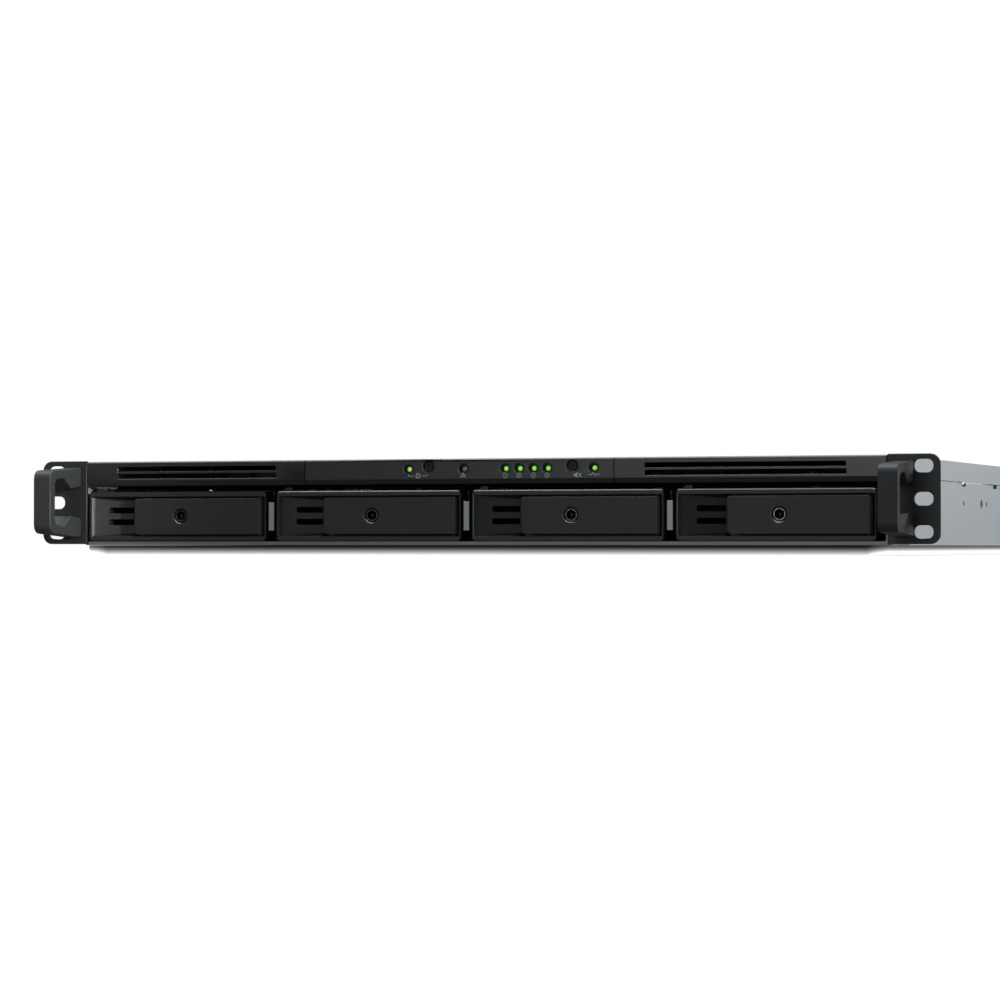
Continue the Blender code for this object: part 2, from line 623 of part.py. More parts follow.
def make_handle(name, side, black):
    """D-shaped pull handle, its legs thinning towards the grip."""
    mid = handle_centre_height()
    half = HANDLE_HEIGHT / 2
    thin = half - HANDLE_TAPER
    root = -GAP
    front = -HANDLE_REACH
    grip = front + HANDLE_GRIP
    inner = thin - HANDLE_LEG_THIN
    upper = []
    for step in range(HANDLE_CORNER_STEPS + 1):
        turn = math.radians(90 * step / HANDLE_CORNER_STEPS)
        upper.append((front + HANDLE_CORNER * (1 - math.cos(turn)), thin - HANDLE_CORNER * (1 - math.sin(turn))))
    upper += [
        (root, half), (root, half - HANDLE_LEG), (-HANDLE_KNEE, half - HANDLE_LEG - 1.3 * MM),
        (-HANDLE_WAIST, inner + 1.0 * MM), (grip + 2 * MM, inner + 0.2 * MM), (grip, inner - 1.8 * MM),
    ]
    outline = [(FRONT + y, mid + z) for y, z in upper]
    outline += [(FRONT + y, mid - z) for y, z in reversed(upper)]
    body = Shape().prism(outline, "X", mirrored(handle_x(), side)).bevelled(HANDLE_EDGE, math.radians(70))
    x = side * sum(handle_x()) / 2
    holes = Shape()
    for z in handle_leg_heights():
        holes.disc((x, z), HANDLE_SCREW_BORE, "Y", (back(-HANDLE_SCREW_DEPTH - GAP), back(EAR_THICK)), 12)
    place(name, body.cut(holes).mesh(), black)


# ---------------------------------------------------------------- front strip
def strip_body(left, right):
    """Hollow front strip between two ends, open at the back, with a skirt down to the drives."""
    profile = [
        (back(0), BEZEL_FACE_LOW), (back(LIP_SETBACK), BEZEL_LIP), (back(BEZEL_DEEP), BEZEL_LIP),
        (back(BEZEL_DEEP), BEZEL_TOP), (back(BEZEL_EDGE), BEZEL_TOP), (back(0), BEZEL_TOP - BEZEL_EDGE),
    ]
    wall = BEZEL_WALL
    cavity = [
        (back(wall), BEZEL_FACE_LOW + 0.4 * MM), (back(LIP_SETBACK + wall), BEZEL_LIP + 1.4 * MM),
        (back(BEZEL_DEEP + wall), BEZEL_LIP + 1.4 * MM), (back(BEZEL_DEEP + wall), BEZEL_TOP - 1.4 * MM),
        (back(wall), BEZEL_TOP - 1.4 * MM),
    ]
    body = Shape().prism(profile, "X", (left, right))
    start = max(left, SHELF_WIDTH + 1 * MM - WALL_IN)
    skirt = Shape().box((start, right), (back(BEZEL_DEEP - SKIRT_THICK), back(BEZEL_DEEP)),
                        (SKIRT_LOW, BEZEL_LIP + 1 * MM))
    return body.cut(Shape().prism(cavity, "X", (left + 1.5 * MM, right - 1.5 * MM))).join(skirt)


def hang_tabs(left, right):
    """Small tabs under the strip, one between neighbouring trays."""
    tabs = Shape()
    for index in range(BAY_COUNT - 1):
        x = bay_lock(index) + BAY_PITCH / 2 - 1.5 * MM
        if left < x < right:
            half = HANG_TAB_WIDTH / 2
            tabs.prism([(x - half, BEZEL_LIP + 0.5 * MM), (x - half + 0.8 * MM, BEZEL_LIP - HANG_TAB_DROP),
                        (x + half - 0.8 * MM, BEZEL_LIP - HANG_TAB_DROP), (x + half, BEZEL_LIP + 0.5 * MM)],
                       "Y", (back(LIP_SETBACK + 1 * MM), back(7 * MM)))
    return tabs


def make_vent_bezel(name, left, right, slit, ribs, black):
    body = strip_body(left, right).join(hang_tabs(left, right))
    bars = Shape()
    for x in (slit[0] + distance for distance in ribs):
        bars.box((x - RIB_THICK / 2, x + RIB_THICK / 2), (back(RIB_START), back(7 * MM)),
                 (BEZEL_FACE_LOW, BEZEL_TOP - 0.7 * MM))
    body = body.join(bars)
    slits = Shape()
    for height in SLIT_CENTRES:
        slits.box(slit, (back(-1 * MM), back(BEZEL_WALL + 0.4 * MM)),
                  (height - SLIT_HEIGHT / 2, height + SLIT_HEIGHT / 2))
    place(name, body.cut(slits).mesh(), black)


def lamp_places():
    """X of the green lamps."""
    return [POWER_LAMP] + [DRIVE_LAMP_FIRST + i * DRIVE_LAMP_PITCH for i in range(BAY_COUNT)] + [STATUS_LAMP]


def make_control_panel(black):
    left = SEAM_LEFT + GAP / 2
    right = SEAM_RIGHT - GAP / 2
    body = strip_body(left, right).join(hang_tabs(left, right))
    holes = Shape()
    through = (back(-1 * MM), back(BEZEL_WALL + 1 * MM))
    for x in lamp_places() + [ALERT_LAMP]:
        holes.disc((x, LAMP_HEIGHT), LAMP_HOLE, "Y", through, 16)
    for x in (POWER_BUTTON, MUTE_BUTTON):
        holes.disc((x, BUTTON_HEIGHT), BUTTON_RADIUS + FIT, "Y", through, 20)
    chamfers = Shape()
    for x in lamp_places() + [ALERT_LAMP]:
        chamfers.cone((x, LAMP_HEIGHT), (LAMP_HOLE + 0.65 * MM, LAMP_HOLE), "Y",
                      (back(-0.15 * MM), back(0.6 * MM)), 16)
    for x in (POWER_BUTTON, MUTE_BUTTON):
        chamfers.cone((x, BUTTON_HEIGHT), (BUTTON_RADIUS + 1.0 * MM, BUTTON_RADIUS + FIT), "Y",
                      (back(-0.15 * MM), back(0.6 * MM)), 20)
    place("control_panel", body.cut(holes).cut(chamfers).mesh(), black)


def make_lamps(green, grey):
    """Light guide with one stem for each green lamp, on a common rail, and the alert lens."""
    reach = (back(LAMP_SINK), back(PANEL_BOARD_BACK - BOARD - GAP))
    rail = (back(5.0 * MM), back(7.0 * MM))
    low, high = LAMP_HEIGHT - RAIL_DROP[1], LAMP_HEIGHT - RAIL_DROP[0]
    xs = lamp_places()
    guide = Shape().box((xs[0] - LAMP_RADIUS, xs[-1] + LAMP_RADIUS), rail, (low, high))
    risers = Shape()
    stems = Shape()
    for x in xs:
        risers.box((x - 0.8 * MM, x + 0.8 * MM), (rail[0] + 0.2 * MM, rail[1] - 0.2 * MM),
                   (low + 0.4 * MM, LAMP_HEIGHT))
        stems.disc((x, LAMP_HEIGHT), LAMP_RADIUS, "Y", reach, 16)
    place("light_guide", guide.join(risers).join(stems).mesh(), green)
    place("alert_lens", Shape().disc((ALERT_LAMP, LAMP_HEIGHT), LAMP_RADIUS, "Y", reach, 16).mesh(), grey)


def make_buttons(black):
    """Push buttons with a round dimple."""
    start = back(BUTTON_SINK)
    for name, x in (("power_button", POWER_BUTTON), ("mute_button", MUTE_BUTTON)):
        stem = Shape().disc((x, BUTTON_HEIGHT), BUTTON_RADIUS, "Y", (start, start + BUTTON_LENGTH), 20)
        dimple = Shape().cone((x, BUTTON_HEIGHT), (BUTTON_DIMPLE, BUTTON_DIMPLE * 0.6), "Y",
                              (start - 0.1 * MM, start + 0.5 * MM), 16)
        place(name, stem.cut(dimple).mesh(), black, pivot=(x, start, BUTTON_HEIGHT))


def make_panel_board(green):
    y = (back(PANEL_BOARD_BACK - BOARD), back(PANEL_BOARD_BACK))
    low = BEZEL_LIP + 1.4 * MM + GAP
    high = BEZEL_TOP - 1.4 * MM - GAP
    board = Shape().box((POWER_LAMP - 12 * MM, STATUS_LAMP + 7 * MM), y, (low, high))
    place("panel_board", board.mesh(), green)


# ---------------------------------------------------------------- trays
def bay_centre():
    """Bay middle relative to its lock: halfway between the left ear and the first divider."""
    left = -EAR_INNER - bay_lock(0)
    right = DIVIDER_OFFSET - SHEET / 2
    return (left + right) / 2


def pivot_point():
    """Lever hinge axis relative to the lock centre, as X and Y."""
    return LEVER_RIGHT - PIVOT_INSET, back(PIVOT_INSET)


def make_trays(black):
    """Open-ended trays: a front box with a finger pocket, and two arms for the drive."""
    front_box = Shape().prism(
        rounded((-TRAY_LEFT, TRAY_RIGHT), (TRAY_BOTTOM, TRAY_TOP), (TRAY_CORNER,) * 4, 3),
        "Y", (back(0), back(TRAY_DEEP)))
    half_in = DRIVE_WIDTH / 2 + GAP
    half_out = half_in + ARM_THICK
    mid = bay_centre()
    arm_end = back(TRAY_DEEP + DRIVE_LENGTH - ARM_SHORT)
    fork = [
        (mid - half_out, back(TRAY_DEEP - 1.5 * MM)), (mid + half_out, back(TRAY_DEEP - 1.5 * MM)),
        (mid + half_out, arm_end), (mid + half_in, arm_end),
        (mid + half_in, back(DRIVE_SETBACK - GAP)), (mid - half_in, back(DRIVE_SETBACK - GAP)),
        (mid - half_in, arm_end), (mid - half_out, arm_end),
    ]
    arm_low = BAR_LOW + BAR_HEIGHT + ARM_RISE
    extras = Shape().prism(fork, "Z", (arm_low, arm_low + ARM_HEIGHT))
    tab_left = TAB_INSET - TRAY_LEFT
    tab_right = tab_left + TAB_WIDTH
    extras.prism([(tab_left - TAB_RAMP, TRAY_TOP - 0.5 * MM), (tab_right, TRAY_TOP - 0.5 * MM),
                  (tab_right, TRAY_TOP + TAB_HEIGHT), (tab_left, TRAY_TOP + TAB_HEIGHT)],
                 "Y", (back(2.5 * MM), back(8 * MM)))
    tray = front_box.join(extras)
    floor = TRAY_DEEP - TRAY_BACK
    low = TRAY_BOTTOM + TRAY_LIP_BOTTOM
    high = TRAY_TOP - TRAY_LIP_TOP
    lever_bay = Shape().box((-LEVER_LEFT - LEVER_GAP, TRAY_RIGHT - TRAY_LIP_RIGHT),
                            (back(-1 * MM), back(floor)), (low, high))
    x0 = -TRAY_LEFT + POCKET_EDGE
    x1 = -LEVER_LEFT + 0.5 * MM
    deep = floor - 0.5 * MM
    pocket = Shape().hull([
        (x0, back(-0.2 * MM), low), (x0, back(-0.2 * MM), high), (x1, back(-0.2 * MM), low),
        (x1, back(-0.2 * MM), high),
        (x0 + POCKET_DRAFT, back(POCKET_SHALLOW), low + POCKET_EDGE / 4),
        (x0 + POCKET_DRAFT, back(POCKET_SHALLOW), high - POCKET_EDGE / 4),
        (x1, back(deep), low + POCKET_DRAFT), (x1, back(deep), high - POCKET_DRAFT)])
    details = Shape()
    for height in VENT_CENTRES:
        slot = rounded((VENT_INSET - TRAY_LEFT, -LEVER_LEFT + 6 * MM),
                       (height - VENT_HEIGHT / 2, height + VENT_HEIGHT / 2),
                       (VENT_CORNER, 0, 0, VENT_CORNER), 3)
        details.prism(slot, "Y", (back(1 * MM), back(TRAY_DEEP + 1 * MM)))
    details.box((-CAM_REACH, CAM_REACH), (back(LEVER_THICK + 0.8 * MM), back(floor)),
                (high - 1 * MM, TRAY_TOP - TRAY_ROOF))
    pivot_x, pivot_y = pivot_point()
    hole = PIVOT_RADIUS + PIVOT_CLEARANCE
    details.disc((pivot_x, pivot_y), hole, "Z", (high - 0.5 * MM, high + PIVOT_ENGAGE + GAP), 12)
    details.disc((pivot_x, pivot_y), hole, "Z", (low - PIVOT_ENGAGE - GAP, low + 0.5 * MM), 12)
    mesh = tray.cut(lever_bay).cut(pocket).cut(details).mesh()
    for index in range(BAY_COUNT):
        place(f"tray_{index + 1}", mesh, black, offset=(bay_lock(index), 0, 0))


def make_levers(black):
    """Release levers, hinged at their right end, with a countersunk lock hole."""
    pivot_x, pivot_y = pivot_point()
    face, rear = back(0), back(LEVER_THICK)
    edge = 0.8 * MM
    outline = [(-LEVER_LEFT + edge, face)]
    for i in range(7):
        angle = math.radians(-90 + 15 * i)
        outline.append((pivot_x + PIVOT_INSET * math.cos(angle), pivot_y + PIVOT_INSET * math.sin(angle)))
    outline += [(LEVER_RIGHT, rear), (-LEVER_LEFT, rear), (-LEVER_LEFT, face + edge)]
    lever = Shape().prism(outline, "Z", (LEVER_LOW, LEVER_HIGH))
    low = TRAY_BOTTOM + TRAY_LIP_BOTTOM - PIVOT_ENGAGE
    high = TRAY_TOP - TRAY_LIP_TOP + PIVOT_ENGAGE
    pin = Shape().disc((pivot_x, pivot_y), PIVOT_RADIUS, "Z", (low, high), 12)
    hole = Shape().disc((0, LOCK_HEIGHT), LOCK_RADIUS + LOCK_BORE_GAP, "Y", (face - 1 * MM, rear + 1 * MM), 24)
    sink = Shape().cone((0, LOCK_HEIGHT), (LOCK_RECESS, LOCK_RADIUS + LOCK_BORE_GAP), "Y",
                        (face - 0.1 * MM, face + LOCK_RECESS_DEEP), 24)
    corners = Shape()
    left = -LEVER_LEFT
    for level, corner in ((LEVER_HIGH, LEVER_CORNERS[0]), (LEVER_LOW, -LEVER_CORNERS[1])):
        beyond = level + math.copysign(1 * MM, corner)
        tip = left + abs(corner) + 1 * MM
        corners.prism([(left - 1 * MM, level - corner - math.copysign(1 * MM, corner)), (tip, beyond),
                       (left - 1 * MM, beyond)], "Y", (face - 1 * MM, rear + 1 * MM))
    mesh = lever.join(pin).cut(hole).cut(sink).cut(corners).mesh()
    for index in range(BAY_COUNT):
        place(f"tray_lever_{index + 1}", mesh, black, pivot=(pivot_x, pivot_y, LOCK_HEIGHT),
              offset=(bay_lock(index), 0, 0))


def make_locks(metal):
    """Key locks: a barrel with a six-sided keyhole and a cam behind the lever."""
    start = back(LOCK_SINK)
    end = back(LOCK_END)
    centre = (0, LOCK_HEIGHT)
    barrel = Shape().disc(centre, LOCK_RADIUS, "Y", (start, end), 24)
    cam = Shape().box((-CAM_REACH, CAM_HALF), (end - CAM_THICK, end),
                      (LOCK_HEIGHT - CAM_HALF, LOCK_HEIGHT + CAM_HALF))
    keyhole = Shape().prism(circle(LOCK_RADIUS - KEY_WALL, 6, centre, math.radians(30)), "Y",
                            (start - 1 * MM, start + KEY_DEEP))
    mesh = barrel.join(cam).cut(keyhole).mesh()
    for index in range(BAY_COUNT):
        place(f"tray_lock_{index + 1}", mesh, metal, pivot=(0, start, LOCK_HEIGHT),
              offset=(bay_lock(index), 0, 0))


def make_drives(steel):
    """3.5 inch drives with a raised lid."""
    mid = bay_centre()
    x = (mid - DRIVE_WIDTH / 2, mid + DRIVE_WIDTH / 2)
    y = (back(DRIVE_SETBACK), back(DRIVE_SETBACK + DRIVE_LENGTH))
    top = DRIVE_BOTTOM + DRIVE_HEIGHT
    body = Shape().prism(rounded(x, y, (1.5 * MM,) * 4, 2), "Z", (DRIVE_BOTTOM, top - DRIVE_LID))
    lid = Shape().prism(rounded((x[0] + DRIVE_RIM, x[1] - DRIVE_RIM), (y[0] + DRIVE_RIM, y[1] - DRIVE_RIM),
                                (6 * MM,) * 4, 4), "Z", (top - 2 * DRIVE_LID, top))
    mesh = body.join(lid).mesh()
    for index in range(BAY_COUNT):
        place(f"drive_{index + 1}", mesh, steel, offset=(bay_lock(index), 0, 0))


# ---------------------------------------------------------------- inside
def make_backplane(board_green):
    """Backplane with a window and a plug behind each drive."""
    y = (back(BACKPLANE_FRONT), back(BACKPLANE_FRONT) + BOARD)
    half = WALL_IN - 3 * MM
    board = Shape().box((-half, half), y, (BACKPLANE_BOTTOM, BACKPLANE_TOP))
    windows = Shape()
    plugs = Shape()
    plug_front = y[0] - PLUG_LENGTH
    for index in range(BAY_COUNT):
        x = bay_lock(index) + bay_centre()
        windows.box((x - 40 * MM, x + 40 * MM), (y[0] - 1 * MM, y[1] + 1 * MM),
                    (PLUG_BOTTOM + PLUG_HEIGHT + 4 * MM, BACKPLANE_TOP - 5 * MM))
        plugs.box((x - PLUG_WIDTH / 2, x + PLUG_WIDTH / 2), (plug_front, y[0] + BOARD / 2),
                  (PLUG_BOTTOM, PLUG_BOTTOM + PLUG_HEIGHT))
    place("backplane_board", board.cut(windows).join(plugs).mesh(), board_green)


def fan_frame_mesh(x, front, z):
    """Square fan frame with a round bore, four struts and a motor plate."""
    half = FAN_SIZE / 2
    rear = front + FAN_DEEP
    outline = rounded((x - half, x + half), (z - half, z + half), (2 * MM,) * 4, 2)
    frame = Shape().prism(outline, "Y", (front, rear))
    frame = frame.cut(Shape().disc((x, z), FAN_BORE, "Y", (front - 1 * MM, rear + 1 * MM), 32))
    spokes = Shape()
    reach = FAN_BORE + 0.6 * MM
    spokes.box((x - reach, x + reach), (rear - STRUT_DEEP, rear), (z - STRUT_WIDTH / 2, z + STRUT_WIDTH / 2))
    upright = Shape().box((x - STRUT_WIDTH / 2, x + STRUT_WIDTH / 2), (rear - STRUT_DEEP, rear),
                          (z - reach, z + reach))
    plate = Shape().disc((x, z), FAN_HUB, "Y", (rear - STRUT_DEEP, rear), 24)
    return frame.join(spokes.join(upright).join(plate)).mesh()


def fan_rotor_mesh(x, front, z):
    """Hub with swept, pitched blades."""
    start = front + 1.5 * MM
    end = front + FAN_DEEP - STRUT_DEEP - 1.0 * MM
    tip = FAN_BORE - FAN_TIP_GAP
    blades = Shape()
    middle = (start + end) / 2
    for index in range(FAN_BLADES):
        angle = math.tau * index / FAN_BLADES
        frame = Matrix.Translation((x, middle, z)) @ Matrix.Rotation(angle, 4, "Y")
        pitched = frame @ Matrix.Rotation(BLADE_PITCH, 4, "Z")
        corners = []
        for radius in (FAN_HUB - 1.5 * MM, tip - 1.4 * MM):
            for across in (-BLADE_SWEEP / 2, BLADE_SWEEP / 2):
                for side in (-BLADE_THICK / 2, BLADE_THICK / 2):
                    corners.append(pitched @ Vector((across, side, radius)))
        blades.hull(corners)
    hub = Shape().disc((x, z), FAN_HUB, "Y", (start, end), 24)
    return hub.join(blades).mesh()


def fan_height():
    return SHEET + GAP + 0.4 * MM + FAN_SIZE / 2


def psu_fan_height():
    return SHEET + GAP + PSU_HEIGHT / 2


def make_fans(black, grey):
    for index in range(FAN_COUNT):
        x = FAN_FIRST + index * FAN_PITCH
        y = FAN_FRONT
        place(f"fan_frame_{index + 1}", fan_frame_mesh(x, y, fan_height()), black)
        place(f"fan_rotor_{index + 1}", fan_rotor_mesh(x, y, fan_height()), grey,
              pivot=(x, y + FAN_DEEP / 2, fan_height()))


def make_main_board(green):
    """Main board with its larger parts and the holes for its standoffs."""
    board = Shape().box((MAIN_LEFT, MAIN_RIGHT), (MAIN_FRONT, MAIN_FRONT + MAIN_DEPTH),
                        (MAIN_BOTTOM, board_top()))
    chips = Shape()
    low = MAIN_BOTTOM + BOARD / 2
    for x, distance, width, length, height in (
            (13, 17, 14, 14, 3.0), (58, 12, 22, 10, 8.0), (98, 13, 12, 12, 2.0),
            (268, 13, 18, 18, 2.4), (303, 19, 8, 26, 10.0), (148, 27, 10, 10, 1.8), (126, 76, 6, 5, 8.0)):
        chips.box((MAIN_LEFT + (x - width / 2) * MM, MAIN_LEFT + (x + width / 2) * MM),
                  (MAIN_FRONT + (distance - length / 2) * MM, MAIN_FRONT + (distance + length / 2) * MM),
                  (low, board_top() + height * MM))
    holes = Shape()
    for centre in standoff_places():
        holes.disc(centre, STANDOFF_BORE, "Z", (MAIN_BOTTOM - 1 * MM, board_top() + 1 * MM), 12)
    place("main_board", board.join(chips).cut(holes).mesh(), green)


def standoff_places():
    """X and Y of the board's standoffs."""
    xs = (MAIN_LEFT + STANDOFF_INSET, MAIN_LEFT + 136 * MM, MAIN_RIGHT - STANDOFF_INSET)
    ys = (MAIN_FRONT + STANDOFF_INSET, MAIN_FRONT + MAIN_DEPTH - 28 * MM)
    return [(x, y) for x in xs for y in ys]


def make_heatsink(aluminium):
    """Finned heatsink, one comb profile drawn out along the air flow."""
    x0 = MAIN_LEFT + 182 * MM
    fins, pitch, fin = 13, 3.6 * MM, 1.2 * MM
    low, base, top = board_top() + GAP, 4 * MM, board_top() + 26 * MM
    width = (fins - 1) * pitch + fin
    outline = [(x0, low), (x0 + width, low)]
    for index in reversed(range(fins)):
        left = x0 + index * pitch
        outline += [(left + fin, top), (left, top)]
        if index:
            outline += [(left, low + base), (left - pitch + fin, low + base)]
    place("heatsink", Shape().prism(outline, "Y", (MAIN_FRONT + 9 * MM, MAIN_FRONT + 49 * MM)).mesh(), aluminium)


def make_memory(green):
    """Memory module with two rows of chips."""
    x = (MAIN_LEFT + 88 * MM, MAIN_LEFT + 156 * MM)
    y = (MAIN_FRONT + 35 * MM, MAIN_FRONT + 59 * MM)
    z = board_top() + 6 * MM
    module = Shape().box(x, y, (z, z + 1.2 * MM))
    chips = Shape()
    for index in range(4):
        left = x[0] + (4 + 16 * index) * MM
        chips.box((left, left + 12 * MM), (y[0] + 5 * MM, y[0] + 17 * MM), (z + 0.6 * MM, z + 2.2 * MM))
    place("memory_module", module.join(chips).mesh(), green)


def socket_body(centre, size):
    """Outer body of a socket on the main board, its mouth at the rear."""
    low = board_top() + GAP
    mouth = REAR - GAP
    return Shape().box((centre - size[0] / 2, centre + size[0] / 2), (mouth - size[1], mouth), (low, low + size[2]))


def socket_mouth(shape, centre, cavity, middle):
    """Add a socket's cavity, centred on an X and a Z."""
    mouth = REAR - GAP
    shape.box((centre - cavity[0] / 2, centre + cavity[0] / 2), (mouth - cavity[1], mouth + 1 * MM),
              (middle - cavity[2] / 2, middle + cavity[2] / 2))
    return shape


def make_sockets(metal):
    """Twin network jack, stacked USB sockets and the expansion socket."""
    low = board_top() + GAP
    mouths = Shape()
    for step in (-1, 1):
        socket_mouth(mouths, JACK_X + step * JACK_PITCH / 2, JACK_CAVITY, low + JACK_SIZE[2] / 2)
    place("network_jacks", socket_body(JACK_X, JACK_SIZE).cut(mouths).mesh(), metal)
    mouths = Shape()
    tongues = Shape()
    mouth = REAR - GAP
    for step in (-1, 1):
        middle = low + USB_SIZE[2] / 2 + step * USB_PITCH / 2
        socket_mouth(mouths, USB_X, USB_CAVITY, middle)
        half = USB_CAVITY[0] / 2 - 1 * MM
        tongues.box((USB_X - half, USB_X + half), (mouth - USB_CAVITY[1] - 1 * MM, mouth - 1 * MM),
                    (middle + 0.2 * MM, middle + 0.2 * MM + USB_TONGUE))
    place("usb_ports", socket_body(USB_X, USB_SIZE).cut(mouths).join(tongues).mesh(), metal)
    mouths = socket_mouth(Shape(), EXPANSION_X, EXPANSION_CAVITY, low + EXPANSION_SIZE[2] / 2)
    place("expansion_port", socket_body(EXPANSION_X, EXPANSION_SIZE).cut(mouths).mesh(), metal)


def make_reset_button(black):
    end = REAR - RESET_SINK
    stem = Shape().disc((RESET_X, RESET_HEIGHT), RESET_RADIUS, "Y", (end - RESET_LENGTH, end), 12)
    place("reset_button", stem.mesh(), black, pivot=(RESET_X, end, RESET_HEIGHT))


def make_upgrade_cover(steel):
    """Blank plate over the upgrade slot."""
    plate = Shape().prism(rounded(UPGRADE_X, UPGRADE_Z, (1.5 * MM,) * 4, 2), "Y", (REAR + GAP, REAR + GAP + SHEET))
    place("upgrade_slot_cover", plate.mesh(), steel)


def make_power_supply(steel, black, grey):
    """Power supply: open-backed case with its fan behind it, and the inlet socket."""
    x = (PSU_LEFT, PSU_LEFT + PSU_WIDTH)
    y = (REAR - SHEET - GAP - PSU_LENGTH, REAR - SHEET - GAP)
    z = (SHEET + GAP, SHEET + GAP + PSU_HEIGHT)
    case = Shape().box(x, y, z)
    hollow = Shape().box((x[0] + PSU_WALL, x[1] - PSU_WALL), (y[0] + PSU_WALL, y[1] + 1 * MM),
                         (z[0] + PSU_WALL, z[1] - PSU_WALL))
    fan_front = y[1] - GAP - FAN_DEEP
    fan_bay = Shape().box((PSU_FAN_X - FAN_SIZE / 2 - GAP, x[1] + 1 * MM), (fan_front - GAP, y[1] + 1 * MM),
                          (z[0] - 1 * MM, z[1] + 1 * MM))
    vents = Shape()
    for step in range(6):
        left = x[0] + (10 + 11 * step) * MM
        vents.box((left, left + 6 * MM), (y[0] - 1 * MM, y[0] + 2 * PSU_WALL), (z[0] + 8 * MM, z[1] - 8 * MM))
    place("psu_case", case.cut(hollow).cut(fan_bay).cut(vents).mesh(), steel)
    height = psu_fan_height()
    place("psu_fan_frame", fan_frame_mesh(PSU_FAN_X, fan_front, height), black)
    place("psu_fan_rotor", fan_rotor_mesh(PSU_FAN_X, fan_front, height), grey,
          pivot=(PSU_FAN_X, fan_front + FAN_DEEP / 2, height))
    make_inlet(black)


def make_inlet(black):
    """Mains inlet: flange outside the rear panel, cavity with three blades."""
    half_w, half_h = INLET_SIZE[0] / 2, INLET_SIZE[1] / 2
    seat = REAR + GAP
    body = Shape().box((INLET_X - half_w, INLET_X + half_w), (seat - INLET_DEEP, seat + INLET_FLANGE / 2),
                       (INLET_HEIGHT - half_h, INLET_HEIGHT + half_h))
    rim = 2.4 * MM
    flange = Shape().prism(rounded((INLET_X - half_w - rim, INLET_X + half_w + rim),
                                   (INLET_HEIGHT - half_h - rim, INLET_HEIGHT + half_h + rim), (2 * MM,) * 4, 2),
                           "Y", (seat, seat + INLET_FLANGE))
    mouth = seat + INLET_FLANGE
    cw, ch = INLET_CAVITY[0] / 2, INLET_CAVITY[1] / 2
    hollow = Shape().prism([(INLET_X - cw, INLET_HEIGHT - ch), (INLET_X + cw, INLET_HEIGHT - ch),
                            (INLET_X + cw, INLET_HEIGHT + ch - 4 * MM), (INLET_X + cw - 4 * MM, INLET_HEIGHT + ch),
                            (INLET_X - cw + 4 * MM, INLET_HEIGHT + ch), (INLET_X - cw, INLET_HEIGHT + ch - 4 * MM)],
                           "Y", (mouth - INLET_CAVITY_DEEP, mouth + 1 * MM))
    blades = Shape()
    for step, rise in ((-1, -2.0), (0, 2.0), (1, -2.0)):
        x = INLET_X + step * INLET_BLADE_PITCH
        z = INLET_HEIGHT + rise * MM
        blades.box((x - BLADE_SIZE[0] / 2, x + BLADE_SIZE[0] / 2),
                   (mouth - INLET_CAVITY_DEEP - 1 * MM, mouth - INLET_CAVITY_DEEP + INLET_BLADE_LENGTH),
                   (z - BLADE_SIZE[1] / 2, z + BLADE_SIZE[1] / 2))
    place("power_inlet", body.join(flange).cut(hollow).join(blades).mesh(), black)


# ---------------------------------------------------------------- assembly
def main():
    for thing in list(bpy.data.objects):
        bpy.data.objects.remove(thing)
    silver = material("painted_steel", (0.55, 0.57, 0.60), 0.45, 0.3)
    galvanised = material("galvanised_steel", (0.45, 0.46, 0.47), 0.4, 0.8)
    zinc = material("zinc_screws", (0.55, 0.55, 0.56), 0.3, 1.0)
    ear_black = material("ear_black", (0.016, 0.018, 0.020), 0.55)
    plastic = material("black_plastic", (0.012, 0.013, 0.015), 0.5)
    bezel_black = material("bezel_black", (0.014, 0.015, 0.017), 0.42)
    lock_metal = material("lock_metal", (0.10, 0.10, 0.11), 0.3, 0.9)
    lamp_green = material("lamp_green", (0.12, 0.75, 0.10), 0.3)
    lamp_grey = material("lamp_grey", (0.25, 0.25, 0.26), 0.3)
    board_green = material("board_green", (0.02, 0.12, 0.05), 0.5)
    aluminium = material("aluminium", (0.62, 0.63, 0.65), 0.35, 1.0)
    drive_metal = material("drive_metal", (0.48, 0.49, 0.50), 0.35, 0.9)
    fan_grey = material("fan_grey", (0.03, 0.03, 0.032), 0.5)

    make_base_pan(silver)
    make_top_cover(silver)
    make_rear_panel(silver)
    make_dividers(galvanised)
    make_cover_screws(zinc)
    for side_name, side in (("left", -1), ("right", 1)):
        make_ear(f"{side_name}_ear", side, ear_black)
        make_handle(f"{side_name}_handle", side, plastic)
    make_vent_bezel("left_bezel", -BEZEL_HALF, SEAM_LEFT - GAP / 2, SLIT_LEFT, RIBS_LEFT, bezel_black)
    make_vent_bezel("right_bezel", SEAM_RIGHT + GAP / 2, BEZEL_HALF, SLIT_RIGHT, RIBS_RIGHT, bezel_black)
    make_control_panel(bezel_black)
    make_lamps(lamp_green, lamp_grey)
    make_buttons(plastic)
    make_panel_board(board_green)
    make_trays(plastic)
    make_levers(plastic)
    make_locks(lock_metal)
    make_drives(drive_metal)
    make_backplane(board_green)
    make_fans(plastic, fan_grey)
    make_main_board(board_green)
    make_heatsink(aluminium)
    make_memory(board_green)
    make_sockets(zinc)
    make_reset_button(plastic)
    make_upgrade_cover(silver)
    make_power_supply(galvanised, plastic, fan_grey)


main()
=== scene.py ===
"""Looks of a four-bay rack storage enclosure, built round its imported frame.

Laid out as an add-on and run as a script. Lengths are metres, +X is right, +Y is the rear, +Z is up.
"""
import json
import math

import bmesh
import bpy
from bpy.props import FloatProperty, FloatVectorProperty, IntProperty, PointerProperty
from bpy.types import Operator, Panel, PropertyGroup
from mathutils import Matrix, Vector


